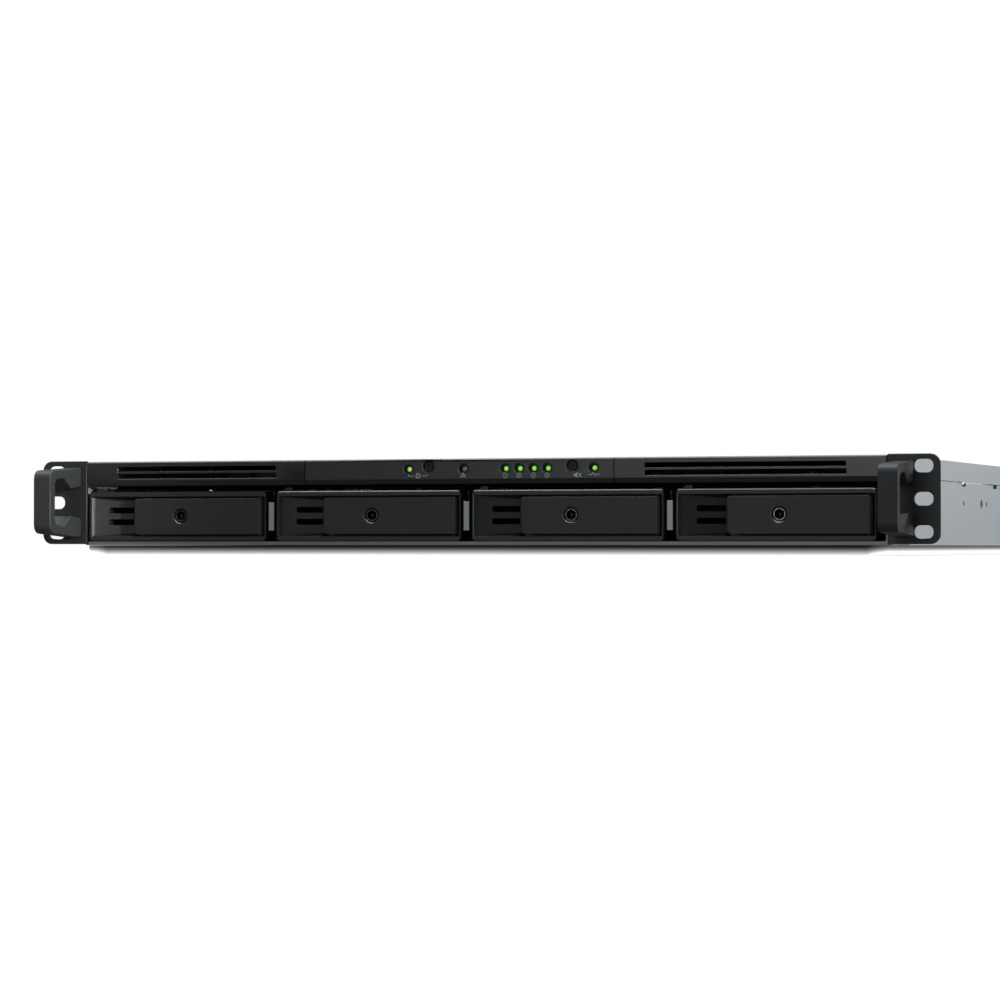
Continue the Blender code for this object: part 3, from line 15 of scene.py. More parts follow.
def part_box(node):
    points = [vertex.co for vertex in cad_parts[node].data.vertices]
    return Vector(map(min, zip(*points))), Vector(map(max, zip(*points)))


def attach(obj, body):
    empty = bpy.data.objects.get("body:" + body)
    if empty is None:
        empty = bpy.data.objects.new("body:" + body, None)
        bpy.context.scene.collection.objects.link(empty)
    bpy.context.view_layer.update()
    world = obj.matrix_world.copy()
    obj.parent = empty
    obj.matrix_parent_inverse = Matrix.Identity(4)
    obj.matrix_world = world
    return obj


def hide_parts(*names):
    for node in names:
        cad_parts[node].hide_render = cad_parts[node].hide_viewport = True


bl_info = {
    "name": "Rack storage enclosure",
    "version": (1, 0, 0),
    "blender": (4, 5, 0),
    "location": "View3D > Sidebar > Enclosure",
    "description": "Dresses the frame of a four-bay rack storage enclosure",
    "category": "Add Mesh",
}

MM = 0.001
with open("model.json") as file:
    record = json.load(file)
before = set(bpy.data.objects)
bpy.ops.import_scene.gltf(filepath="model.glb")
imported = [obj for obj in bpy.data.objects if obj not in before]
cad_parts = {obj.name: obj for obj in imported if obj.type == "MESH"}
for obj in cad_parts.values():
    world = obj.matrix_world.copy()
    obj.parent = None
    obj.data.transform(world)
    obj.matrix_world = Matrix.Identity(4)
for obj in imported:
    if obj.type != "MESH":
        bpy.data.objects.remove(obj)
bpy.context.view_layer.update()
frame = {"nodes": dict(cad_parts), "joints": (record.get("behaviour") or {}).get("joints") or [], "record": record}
NODES = frame["nodes"]
BODY_OF = {node: body for body, nodes in frame["record"]["behaviour"]["bodies"].items() for node in nodes}
JOINTS = {joint["name"]: joint for joint in frame["joints"]}
BAYS = range(1, 5)
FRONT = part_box("left_ear")[0].y
PANEL_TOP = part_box("control_panel")[1].z
EDGE_SHARE, FACE_SHARE = 0.45, 0.8     # most of a short side that a softened edge beside it may take
CREASE = math.radians(32)              # edges sharper than this are softened
SHARP = math.radians(28)               # and what stays sharper than this is shaded as a fold


# ---------------------------------------------------------------- node trees
class Wire:
    """An output socket that Python's operators work on."""

    def __init__(self, graph, socket):
        self.graph, self.socket = graph, socket

    def __getitem__(self, output):
        return Wire(self.graph, self.socket.node.outputs[output])

    def maths(self, operation, first, second):
        return self.graph.add("ShaderNodeMath", {"operation": operation}, {0: first, 1: second})

    def __add__(self, other):
        return self.maths("ADD", self, other)

    def __sub__(self, other):
        return self.maths("SUBTRACT", self, other)

    def __rsub__(self, other):
        return self.maths("SUBTRACT", other, self)

    def __mul__(self, other):
        return self.maths("MULTIPLY", self, other)

    def __pow__(self, other):
        return self.maths("POWER", self, other)


class Graph:
    """Adds nodes to a node tree."""

    def __init__(self, tree):
        self.tree = tree

    def add(self, kind, settings=None, values=None, output=0):
        """Add a node: its settings first, then the values or wires of its inputs."""
        node = self.tree.nodes.new(kind)
        for name, value in (settings or {}).items():
            setattr(node, name, value)
        for name, value in (values or {}).items():
            if isinstance(value, Wire):
                self.tree.links.new(value.socket, node.inputs[name])
            else:
                node.inputs[name].default_value = value
        return Wire(self, node.outputs[output])


class Finish(Graph):
    """A material whose pattern follows the object's own coordinates."""

    def __init__(self, name):
        self.material = bpy.data.materials.new(name)
        self.material.use_nodes = True
        super().__init__(self.material.node_tree)
        self.shader = self.tree.nodes["Principled BSDF"]
        self.place = self.add("ShaderNodeTexCoord", output="Object")

    def stretched(self, scale):
        return self.add("ShaderNodeVectorMath", {"operation": "MULTIPLY"}, {0: self.place, 1: scale})

    def noise(self, size, detail=2.0, where=None):
        """Noise from 0 to 1 whose blobs are about this size."""
        return self.add("ShaderNodeTexNoise", {}, {
            "Vector": where or self.place, "Scale": 1 / size, "Detail": detail})

    def blend(self, factor, low, high):
        """Colour between two colours."""
        return self.add("ShaderNodeMix", {"data_type": "RGBA"}, {0: factor, 6: (*low, 1.0), 7: (*high, 1.0)}, 2)

    def tinted(self, factor, colour, low, high=1.0):
        """A colour made darker or lighter by two shares of itself."""
        return self.blend(factor, [c * low for c in colour], [c * high for c in colour])

    def steps(self, value, low, high):
        """Value stretched so that low becomes 0 and high becomes 1."""
        return self.add("ShaderNodeMapRange", {}, {0: value, 1: low, 2: high})

    def bump(self, height, depth):
        return self.add("ShaderNodeBump", {}, {"Height": height, "Distance": depth})

    def surface(self, **inputs):
        """Set the shader: wires for what varies, plain values for the rest."""
        for name, value in inputs.items():
            socket = self.shader.inputs[name.replace("_", " ")]
            if isinstance(value, Wire):
                self.tree.links.new(value.socket, socket)
            else:
                socket.default_value = value
        return self.material


class Recipe(Graph):
    """A geometry node tree with named inputs, run on a host mesh and kept as a plain mesh."""

    def __init__(self, name, **sizes):
        super().__init__(bpy.data.node_groups.new(name, "GeometryNodeTree"))
        self.interface = self.tree.interface
        self.interface.new_socket("Geometry", in_out="INPUT", socket_type="NodeSocketGeometry")
        for label, value in sizes.items():
            kind = "NodeSocketInt" if isinstance(value, int) else "NodeSocketFloat"
            socket = self.interface.new_socket(label.replace("_", " "), in_out="INPUT", socket_type=kind)
            socket.default_value = value
        self.interface.new_socket("Material", in_out="INPUT", socket_type="NodeSocketMaterial")
        self.interface.new_socket("Geometry", in_out="OUTPUT", socket_type="NodeSocketGeometry")
        self.inputs = self.add("NodeGroupInput")

    def vector(self, x=0.0, y=0.0, z=0.0):
        return self.add("ShaderNodeCombineXYZ", {}, {0: x, 1: y, 2: z})

    def moved(self, geometry, **values):
        return self.add("GeometryNodeTransform", {}, {"Geometry": geometry, **values})

    def placed(self, points, instance, **values):
        return self.add("GeometryNodeInstanceOnPoints", {}, {"Points": points, "Instance": instance, **values})

    def position(self):
        return self.add("GeometryNodeInputPosition")

    def apart(self):
        """The vertex position as three numbers."""
        return self.add("ShaderNodeSeparateXYZ", {}, {0: self.position()})

    def slimmed(self, geometry, slim):
        """Scale X and Y of every vertex."""
        place = self.add("ShaderNodeVectorMath", {"operation": "MULTIPLY"}, {
            0: self.position(), 1: self.vector(slim, slim, 1.0)})
        return self.add("GeometryNodeSetPosition", {}, {"Geometry": geometry, "Position": place})

    def joined(self, *parts):
        node = self.add("GeometryNodeJoinGeometry")
        for part in reversed(parts):
            self.tree.links.new(part.socket, node.socket.node.inputs[0])
        return node

    def close(self, geometry):
        """End the tree in realised instances that carry the material."""
        real = self.add("GeometryNodeRealizeInstances", {}, {"Geometry": geometry})
        shown = self.add("GeometryNodeSetMaterial", {}, {"Geometry": real, "Material": self.inputs["Material"]})
        out = self.tree.nodes.new("NodeGroupOutput")
        self.tree.links.new(shown.socket, out.inputs[0])
        return self

    def make(self, name, host, material, **values):
        """Run the tree on a host mesh and keep the result as a piece."""
        sockets = {item.name: item.identifier for item in self.interface.items_tree if item.in_out == "INPUT"}
        holder = bpy.data.objects.new(name + "_host", host)
        bpy.context.scene.collection.objects.link(holder)
        step = holder.modifiers.new("recipe", "NODES")
        step.node_group = self.tree
        step[sockets["Material"]] = material
        for label, value in values.items():
            step[sockets[label.replace("_", " ")]] = value
        piece = kept(name, holder)
        piece.data.shade_smooth()
        piece.data.set_sharp_from_angle(angle=math.radians(35))
        return piece


# ---------------------------------------------------------------- meshes
def kept(name, holder):
    """The evaluated shape of an object as a new plain object; the old one goes."""
    graph = bpy.context.evaluated_depsgraph_get()
    mesh = bpy.data.meshes.new_from_object(holder.evaluated_get(graph))
    bpy.data.objects.remove(holder)
    return piece_from(name, mesh)


def piece_from(name, mesh, *materials):
    mesh.name = name
    for material in materials:
        mesh.materials.append(material)
    piece = bpy.data.objects.new(name, mesh)
    bpy.context.scene.collection.objects.link(piece)
    return piece


def circle(radius, steps, centre):
    turns = [math.tau * i / steps for i in range(steps)]
    return [(centre[0] + radius * math.cos(turn), centre[1] + radius * math.sin(turn)) for turn in turns]


def rectangle(across, up):
    return [(across[0], up[0]), (across[1], up[0]), (across[1], up[1]), (across[0], up[1])]


class Form:
    """Small closed solids gathered into one mesh."""

    AXES = {"Y": (1, 0, 2), "Z": (2, 0, 1)}

    def __init__(self):
        self.data = bmesh.new()

    def loop(self, outline, level, axis):
        """Corners of an outline at a level on the axis."""
        along, across, up = self.AXES[axis]
        corners = []
        for u, v in outline:
            point = [0.0, 0.0, 0.0]
            point[along], point[across], point[up] = level, u, v
            corners.append(self.data.verts.new(point))
        return corners

    def skin(self, loops):
        """Faces from each loop to the next."""
        for low, high in zip(loops, loops[1:]):
            for i, corner in enumerate(low):
                j = (i + 1) % len(low)
                self.data.faces.new((corner, low[j], high[j], high[i]))

    def loft(self, rings):
        """Close a solid over rings, each an outline and its level on Y."""
        loops = [self.loop(outline, level, "Y") for outline, level in rings]
        self.data.faces.new(loops[0])
        self.data.faces.new(loops[-1])
        self.skin(loops)
        return self

    def box(self, x, y, z):
        return self.loft([(rectangle(x, z), level) for level in y])

    def ring(self, centre, outer, inner, axis, span, steps=24):
        """A washer: outer and inner radius at each end of its span."""
        ends = ((outer[0], span[0]), (outer[1], span[1]), (inner[1], span[1]), (inner[0], span[0]))
        loops = [self.loop(circle(radius, steps, centre), level, axis) for radius, level in ends]
        self.skin(loops + loops[:1])
        return self

    def piece(self, name, *materials, smooth=35):
        bmesh.ops.recalc_face_normals(self.data, faces=self.data.faces)
        mesh = bpy.data.meshes.new(name)
        self.data.to_mesh(mesh)
        self.data.free()
        mesh.shade_smooth()
        mesh.set_sharp_from_angle(angle=math.radians(smooth))
        return piece_from(name, mesh, *materials)


def corner_room(corner):
    """How wide a rounding can start at a corner: its shortest side, less where two sides leave at a slant."""
    sides = [side.other_vert(corner).co - corner.co for side in corner.link_edges]
    room = min(side.length for side in sides)
    slant = 1.0
    for i, first in enumerate(sides):
        for second in sides[i + 1:]:
            if first.dot(second) > 0:
                slant = min(slant, max(0.05, first.normalized().cross(second.normalized()).length))
    return room * slant


def dressed(node, material, edge, front_edge=None, segments=1, painted=(), rubbed=None):
    """Stand a copy of a CAD node with softened edges in its place; an edge of 0 leaves them crisp.

    Edges that lie on the ear face get front_edge. painted holds pairs of a finish and a test on a face's centre
    and normal; the last parameter is the finish of the softened edges, a lighter colour that paints a highlight on
    them.
    """
    shape = bmesh.new()
    shape.from_mesh(NODES[node].data)
    bmesh.ops.remove_doubles(shape, verts=shape.verts, dist=1e-6)
    bmesh.ops.dissolve_degenerate(shape, dist=0.06 * MM, edges=shape.edges)
    bmesh.ops.dissolve_limit(shape, angle_limit=math.radians(0.6), verts=shape.verts, edges=shape.edges)
    for face in shape.faces:
        face.smooth = True
    widest = max(edge, front_edge or 0)
    room = {corner: corner_room(corner) for corner in shape.verts}
    weights = shape.edges.layers.float.new("bevel_weight_edge")
    for side in shape.edges:
        if len(side.link_faces) == 2 and side.calc_face_angle(0) > CREASE:
            ahead = front_edge and all(abs(v.co.y - FRONT) < 0.02 * MM for v in side.verts)
            wanted, share = (front_edge, FACE_SHARE) if ahead else (edge, EDGE_SHARE)
            side[weights] = min(wanted, share * min(room[corner] for corner in side.verts)) / (widest or 1.0)
    mesh = bpy.data.meshes.new(node)
    shape.to_mesh(mesh)
    shape.free()
    layers = [material, *(finish for finish, test in painted), rubbed or material]
    for finish in layers:
        mesh.materials.append(finish)
    holder = bpy.data.objects.new(node + "_holder", mesh)
    bpy.context.scene.collection.objects.link(holder)
    if widest:
        step = holder.modifiers.new("edges", "BEVEL")
        step.width, step.segments, step.limit_method = widest, segments, "WEIGHT"
        step.use_clamp_overlap, step.material = False, len(layers) - 1
    holder = kept(node + "_holder", holder)
    holder.data.set_sharp_from_angle(angle=SHARP)
    flats = holder.modifiers.new("normals", "WEIGHTED_NORMAL")
    flats.weight, flats.keep_sharp = 100, True
    piece = kept(node + "_shell", holder)
    for face in piece.data.polygons:
        for slot, (finish, test) in enumerate(painted, 1):
            if test(face.center, face.normal):
                face.material_index = slot
    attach(piece, BODY_OF[node])
    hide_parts(node)
    return piece


def points(places, aim):
    """Host mesh for a recipe: one point at each place, all aimed one way."""
    mesh = bpy.data.meshes.new("seats")
    mesh.from_pydata([tuple(place) for place in places], [], [])
    layer = mesh.attributes.new("aim", "FLOAT_VECTOR", "POINT")
    for item in layer.data:
        item.vector = aim
    return mesh


# ---------------------------------------------------------------- finishes
class Finishes:
    """All materials of the enclosure, made once from the scene's colours."""

    def __init__(self, colours):
        self.bezel = moulded("bezel_plastic", colours.bezel, 0.33, 0.10, 0.012 * MM)
        self.tray = moulded("tray_plastic", colours.tray, 0.50, 0.30, 0.02 * MM)
        self.lever = moulded("lever_plastic", colours.tray, 0.54, 0.35, 0.03 * MM)
        # Painted highlight: the tray colour half again lighter and glossier, laid on softened edges as lit lines.
        self.rubbed = moulded("rubbed_edge", tuple(c * 1.5 for c in colours.tray), 0.25, 0.1, 0.004 * MM)
        # Painted shade: near-black dull plastic laid on faces in shade inside the strip, dividers, cover, drives and
        # locks.
        self.shade = moulded("inner_plastic", (0.003, 0.003, 0.003), 0.85, 0.3, 0.01 * MM, 0.1)
        self.handle = moulded("handle_plastic", colours.handle, 0.58, 0.25, 0.012 * MM)
        self.button = moulded("button_plastic", colours.button, 0.6, 0.2, 0.01 * MM)
        self.fan = moulded("fan_plastic", colours.fan, 0.45, 0.4, 0.01 * MM)
        self.chip = moulded("chip_resin", colours.chip, 0.5, 0.2, 0.01 * MM)
        self.ear = powder_paint(colours.ear)
        self.steel = rolled_steel("chassis_steel", colours.steel, 0.44)
        # Painted shade: the divider colour at half strength, laid on the base pan's front hem as the same steel in
        # shade.
        self.divider = rolled_steel("hem_steel", tuple(c * 0.5 for c in colours.divider), 0.5)
        self.bar = rolled_steel("divider_steel", tuple(c * 0.8 for c in colours.divider), 0.5)
        self.zinc = plated("screw_zinc", colours.zinc, 0.28)
        self.black_zinc = plated("screw_black", colours.black_screw, 0.35)
        self.lock = plated("lock_metal", colours.lock, 0.24)
        self.lock_trim = plated("lock_trim", colours.lock_trim, 0.2)
        self.gold = plated("contact_gold", colours.gold, 0.22)
        self.nickel = plated("socket_nickel", colours.nickel, 0.26)
        self.drive = cast_metal(colours.drive)
        self.lid = brushed("drive_lid", colours.lid)
        self.heatsink = brushed("heatsink_aluminium", colours.heatsink)
        self.board = circuit_board(colours.board)
        self.usb = moulded("usb_tongue", colours.usb, 0.4, 0.2, 0.01 * MM)
        self.lamp = lit_lens(colours.lamp)
        self.lamp_off = clouded_lens(colours.lamp_off)
        self.guide = clouded_lens((0.2, 0.5, 0.15), "guide_green")
        self.print = printed(colours.print)
        self.floor = studio_white()
        self.riser = riser_white()


def moulded(name, colour, roughness, grain, depth, gloss=0.5):
    """Moulded black plastic with a spark-eroded grain; grain in millimetres."""
    f = Finish(name)
    speck = f.noise(grain * MM, 3.0)
    cloud = f.noise(30 * MM, 2.0)
    return f.surface(Base_Color=f.tinted(speck * 0.7 + cloud * 0.3, colour, 0.82, 1.22),
                     Roughness=speck * 0.12 + cloud * 0.06 + (roughness - 0.09),
                     Specular_IOR_Level=gloss, Normal=f.bump(speck, depth))


def powder_paint(colour):
    """Powder-coated steel with a fine orange peel."""
    f = Finish("ear_paint")
    peel = f.noise(0.7 * MM, 1.0)
    fine = f.noise(0.2 * MM, 3.0)
    return f.surface(Base_Color=f.tinted(fine, colour, 0.85, 1.2), Roughness=fine * 0.15 + 0.45,
                     Normal=f.bump(peel * 0.7 + fine * 0.3, 0.02 * MM))


def rolled_steel(name, colour, roughness):
    """Zinc-coated sheet: faint rolling streaks along its length and a soft cloud."""
    f = Finish(name)
    streak = f.noise(0.5 * MM, 3.0, f.stretched((1.0, 0.02, 1.0)))
    cloud = f.noise(18 * MM, 3.0)
    fine = f.noise(0.25 * MM, 2.0)
    tone = f.tinted(streak * 0.5 + cloud * 0.5, colour, 0.95, 1.04)
    return f.surface(Base_Color=tone, Metallic=0.75, Roughness=streak * 0.1 + cloud * 0.08 + (roughness - 0.09),
                     Normal=f.bump(streak * 0.5 + fine * 0.5, 0.004 * MM))


def plated(name, colour, roughness):
    """Plated metal with a light tumbled texture."""
    f = Finish(name)
    fine = f.noise(0.3 * MM, 3.0)
    return f.surface(Base_Color=f.tinted(fine, colour, 0.85), Metallic=1.0,
                     Roughness=fine * 0.14 + (roughness - 0.07), Normal=f.bump(fine, 0.003 * MM))


def cast_metal(colour):
    """Cast metal with a coarse skin."""
    f = Finish("drive_casting")
    grain = f.noise(0.5 * MM, 4.0)
    return f.surface(Base_Color=f.tinted(grain, colour, 0.8), Metallic=0.9, Roughness=grain * 0.2 + 0.35,
                     Normal=f.bump(grain, 0.03 * MM))


def brushed(name, colour):
    """Metal brushed along its length."""
    f = Finish(name)
    line = f.noise(0.3 * MM, 3.0, f.stretched((1.0, 0.01, 1.0)))
    return f.surface(Base_Color=f.tinted(line, colour, 0.86), Metallic=1.0, Roughness=line * 0.16 + 0.26,
                     Normal=f.bump(line, 0.004 * MM))


def circuit_board(colour):
    """Solder mask over copper runs that show as a slightly lighter maze."""
    f = Finish("circuit_board")
    cell = f.add("ShaderNodeTexVoronoi", {"distance": "MANHATTAN"}, {"Vector": f.place, "Scale": 1 / (2.4 * MM)})
    run = f.steps(cell, 0.45, 0.5)
    return f.surface(Base_Color=f.tinted(run, colour, 1.0, 1.9), Roughness=run * 0.1 + 0.32,
                     Normal=f.bump(run, 0.02 * MM))


def lit_lens(colour):
    """Lit lens, brightest in its middle, by the piece's own rim attribute."""
    f = Finish("lamp_green")
    rim = f.add("ShaderNodeAttribute", {"attribute_name": "rim"}, output="Fac")
    speck = f.noise(0.5 * MM, 2.0)
    glow = f.blend(rim, colour, (colour[0] * 0.32, colour[1] * 0.62, colour[2] * 0.4))
    body = f.blend(speck, (0.05, 0.3, 0.03), (0.1, 0.45, 0.05))
    return f.surface(Base_Color=body, Roughness=0.2, Emission_Color=glow, Emission_Strength=1.0)


def clouded_lens(colour, name="lamp_grey"):
    """Unlit lens under a clear coat."""
    f = Finish(name)
    speck = f.noise(0.6 * MM, 2.0)
    return f.surface(Base_Color=f.tinted(speck, colour, 0.7), Roughness=speck * 0.2 + 0.15, Coat_Weight=0.5)


def printed(colour):
    """Screen-printed ink, slightly uneven."""
    f = Finish("print_ink")
    speck = f.noise(0.12 * MM, 3.0)
    return f.surface(Base_Color=f.tinted(speck, colour, 0.78), Roughness=speck * 0.15 + 0.5)


def studio_white():
    """Pale floor that glows away from the object, as under a sweep of lamps."""
    f = Finish("studio_floor")
    grain = f.noise(2.0, 2.0)
    away = f.steps(f.add("ShaderNodeVectorMath", {"operation": "LENGTH"}, {0: f.place}, "Value"), 0.3, 0.9)
    return f.surface(Base_Color=f.blend(grain, (0.80, 0.80, 0.80), (0.84, 0.84, 0.84)), Roughness=0.9,
                     Emission_Color=f.blend(away, (0.0, 0.0, 0.0), (1.0, 1.0, 1.0)), Emission_Strength=1.0)


def riser_white():
    """Low riser under the enclosure with a painted contact shadow: black at its top, white at its foot, paler near
    its ends.
    """
    f = Finish("studio_riser")
    spot = f.add("ShaderNodeSeparateXYZ", {}, {0: f.place})
    # Painted shadow: glow from black under the body to white at the floor, lifted towards both ends.
    painted_shadow_ramp = f.steps(spot["Z"], -0.4 * MM, -5.0 * MM) ** 2.2
    end = f.steps(spot["X"] * spot["X"], 0.203 ** 2, 0.213 ** 2)
    glow = f.blend(painted_shadow_ramp * (end * 2.0 + 1.0) + end * 0.1, (0.0, 0.0, 0.0), (1.0, 1.0, 1.0))
    return f.surface(Base_Color=(0.02, 0.02, 0.02, 1.0), Roughness=0.9, Emission_Strength=1.0, Emission_Color=glow)


# ---------------------------------------------------------------- settings
def colour(name, description, value):
    return FloatVectorProperty(name=name, description=description, default=value, size=3, min=0.0, max=1.0,
                               subtype="COLOR")


def length(name, description, millimetres):
    return FloatProperty(name=name, description=description, default=millimetres * MM, min=0.0, unit="LENGTH",
                         precision=5)


class EnclosureColours(PropertyGroup):
    """Base colours of the finishes."""
    bezel: colour("Front strip", "Moulded strip above the bays", (0.014, 0.0155, 0.0165))
    tray: colour("Trays", "Drive trays and their levers", (0.012, 0.013, 0.014))
    handle: colour("Handles", "Pull handles", (0.014, 0.0155, 0.0165))
    ear: colour("Ears", "Painted rack ears", (0.009, 0.010, 0.0105))
    button: colour("Buttons", "Push buttons", (0.010, 0.010, 0.011))
    steel: colour("Chassis", "Zinc-coated chassis sheet", (0.62, 0.645, 0.66))
    divider: colour("Dividers", "Bars between the bays", (0.42, 0.44, 0.45))
    zinc: colour("Screws", "Bright screws", (0.66, 0.67, 0.68))
    black_screw: colour("Black screws", "Screws of the ears and handles", (0.05, 0.05, 0.055))
    lock: colour("Locks", "Lock barrels", (0.10, 0.105, 0.11))
    lock_trim: colour("Lock trim", "Polished ring round each lock", (0.16, 0.165, 0.17))
    lamp: colour("Lit lamps", "Green lamps", (0.34, 0.68, 0.12))
    lamp_off: colour("Unlit lamp", "Alert lamp", (0.42, 0.44, 0.45))
    print: colour("Legends", "Printed marks", (0.62, 0.65, 0.67))
    gold: colour("Contacts", "Gold contacts", (0.85, 0.62, 0.25))
    nickel: colour("Sockets", "Nickel socket shells", (0.58, 0.57, 0.55))
    drive: colour("Drives", "Cast drive bodies", (0.30, 0.31, 0.32))
    lid: colour("Drive lids", "Brushed drive lids", (0.60, 0.61, 0.62))
    heatsink: colour("Heatsink", "Extruded heatsink", (0.66, 0.67, 0.69))
    board: colour("Boards", "Solder mask", (0.010, 0.07, 0.03))
    usb: colour("USB tongues", "Plastic tongues in the USB sockets", (0.01, 0.09, 0.42))
    fan: colour("Fans", "Fan frames and blades", (0.016, 0.016, 0.017))
    chip: colour("Chips", "Resin packages and plugs", (0.014, 0.014, 0.015))


class EnclosureSizes(PropertyGroup):
    """Sizes of the details."""
    moulding_edge: length("Moulding edge", "Rounding of plastic edges", 0.22)
    face_edge: length("Face edge", "Rounding of the edges that lie on the ear face", 0.5)
    sheet_edge: length("Sheet edge", "Rounding of sheet metal edges", 0.12)
    ink: length("Ink", "Thickness of printed legends", 0.03)
    lamp_radius: length("Lamp", "Radius of a lamp's lens", 1.25)
    screw_radius: length("Screw head", "Radius of a small screw head", 2.8)
    screw_height: length("Screw height", "Height of a small screw head", 1.5)
    fan_blades: IntProperty(name="Fan blades", description="Blades of each rotor", default=7, min=3)


def sizes():
    return bpy.context.scene.enclosure_sizes


FINISHES = []


def finishes():
    """The finishes, made when first asked for."""
    if not FINISHES:
        FINISHES.append(Finishes(bpy.context.scene.enclosure_colours))
    return FINISHES[0]


# ---------------------------------------------------------------- stage
LENS, SENSOR = 119.1, 36.0
VIEW_FROM = (0.5748, -1.68315, 0.0007)
VIEW_TILT, VIEW_TURN = 90.758, 19.77        # degrees
FLOOR_LEVEL = -5.0 * MM
FLOOR_REACH = 6.0
RISER_INSET = 2 * MM
LAMP_TINT = (0.92, 0.97, 1.0)
LEFT_GRIP = (-0.2205, -0.1605, 0.0217)      # just inside the left handle's bar


class ENCLOSURE_OT_stage(Operator):
    """Camera, pale floor, riser and soft studio lights"""
    bl_idname = "enclosure.stage"
    bl_label = "Stage"

    def execute(self, context):
        scene = context.scene
        camera = bpy.data.cameras.new("camera")
        camera.lens, camera.sensor_width, camera.clip_start = LENS, SENSOR, 0.005
        view = bpy.data.objects.new("camera", camera)
        view.location = VIEW_FROM
        view.rotation_euler = (math.radians(VIEW_TILT), 0.0, math.radians(VIEW_TURN))
        scene.collection.objects.link(view)
        scene.camera = view
        scene.view_settings.view_transform = "Standard"
        self.world(scene)
        span = (-FLOOR_REACH, FLOOR_REACH)
        floor = Form().box(span, span, (FLOOR_LEVEL - 0.01, FLOOR_LEVEL)).piece("floor", finishes().floor)
        low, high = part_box("base_pan")
        riser = Form().box((low.x + RISER_INSET, high.x - RISER_INSET), (FRONT + RISER_INSET, high.y - RISER_INSET),
                           (FLOOR_LEVEL, low.z - 0.1 * MM)).piece("riser", finishes().riser)
        for ground in (floor, riser):
            ground.visible_diffuse = ground.visible_glossy = False
        self.softbox("overhead", (0.0, -0.1, 1.1), (1.9, 0.5), 9.0)
        self.softbox("front", (-0.2, -2.5, 0.4), (0.9, 0.8), 3.4)
        self.softbox("side", (1.6, 1.6, 0.4), (1.4, 0.9), 2.0)
        self.spot("grip_spot", (0.9, -0.75, 0.25), LEFT_GRIP, 2.3, 560.0)
        return {"FINISHED"}

    def world(self, scene):
        """White to the camera, dim to the object, so that black mouldings stay black."""
        scene.world = bpy.data.worlds.new("studio")
        scene.world.use_nodes = True
        graph = Graph(scene.world.node_tree)
        seen = graph.add("ShaderNodeLightPath", output="Is Camera Ray")
        scene.world.node_tree.nodes["Background"].inputs["Color"].default_value = (1.0, 1.0, 1.0, 1.0)
        graph.tree.links.new((seen * 0.85 + 0.15).socket, graph.tree.nodes["Background"].inputs["Strength"])

    def spot(self, name, place, target, degrees, power):
        """Narrow lamp that picks out one place."""
        lamp = bpy.data.lights.new(name, "SPOT")
        lamp.energy, lamp.spot_size, lamp.spot_blend = power, math.radians(degrees), 0.4
        lamp.shadow_soft_size = 0.05
        self.hung(lamp, place, target)

    def softbox(self, name, place, size, brightness):
        """Rectangular lamp aimed at the object, of a given surface brightness."""
        lamp = bpy.data.lights.new(name, "AREA")
        lamp.shape, (lamp.size, lamp.size_y) = "RECTANGLE", size
        lamp.energy = brightness * math.pi * size[0] * size[1]
        lamp.color = LAMP_TINT
        self.hung(lamp, place, (0, 0, 0.02)).visible_camera = False

    def hung(self, lamp, place, target):
        holder = bpy.data.objects.new(lamp.name, lamp)
        holder.location = place
        holder.rotation_euler = (Vector(target) - Vector(place)).to_track_quat("-Z", "Y").to_euler()
        bpy.context.scene.collection.objects.link(holder)
        return holder


# ---------------------------------------------------------------- body
class ENCLOSURE_OT_chassis(Operator):
    """Folded sheet of the chassis: pan, cover, rear panel, dividers and power supply case"""
    bl_idname = "enclosure.chassis"
    bl_label = "Chassis"

    def execute(self, context):
        # Painted shade: the front hem of the pan is darker than the rest of its steel.
        hem_shade = (finishes().divider, lambda spot, normal: spot.y < FRONT + 5 * MM and abs(normal.x) < 0.5)
        dressed("base_pan", finishes().steel, 0, painted=[hem_shade])
        # Painted shade: the underside of the cover is near black.
        ceiling_shade = (finishes().shade, lambda spot, normal: normal.z < -0.5)
        dressed("top_cover", finishes().steel, 0, painted=[ceiling_shade])
        for node in ("rear_panel", "upgrade_slot_cover"):
            dressed(node, finishes().steel, 0)
        dressed("psu_case", finishes().steel, 0)
        edge = sizes().sheet_edge
        # Painted shade: each divider sheet behind its front bar is near black.
        sheet = (finishes().shade, lambda spot, normal: spot.y > FRONT + 1.95 * MM)
        for bay in BAYS:
            dressed(f"bay_divider_{bay}", finishes().bar, edge, painted=[sheet])
        return {"FINISHED"}


class ENCLOSURE_OT_ears(Operator):
    """Painted rack ears and moulded pull handles"""
    bl_idname = "enclosure.ears"
    bl_label = "Ears and handles"

    def execute(self, context):
        for side in ("left", "right"):
            dressed(side + "_ear", finishes().ear, 0.3 * MM)
            dressed(side + "_handle", finishes().handle, 0.5 * MM, segments=3)
        return {"FINISHED"}


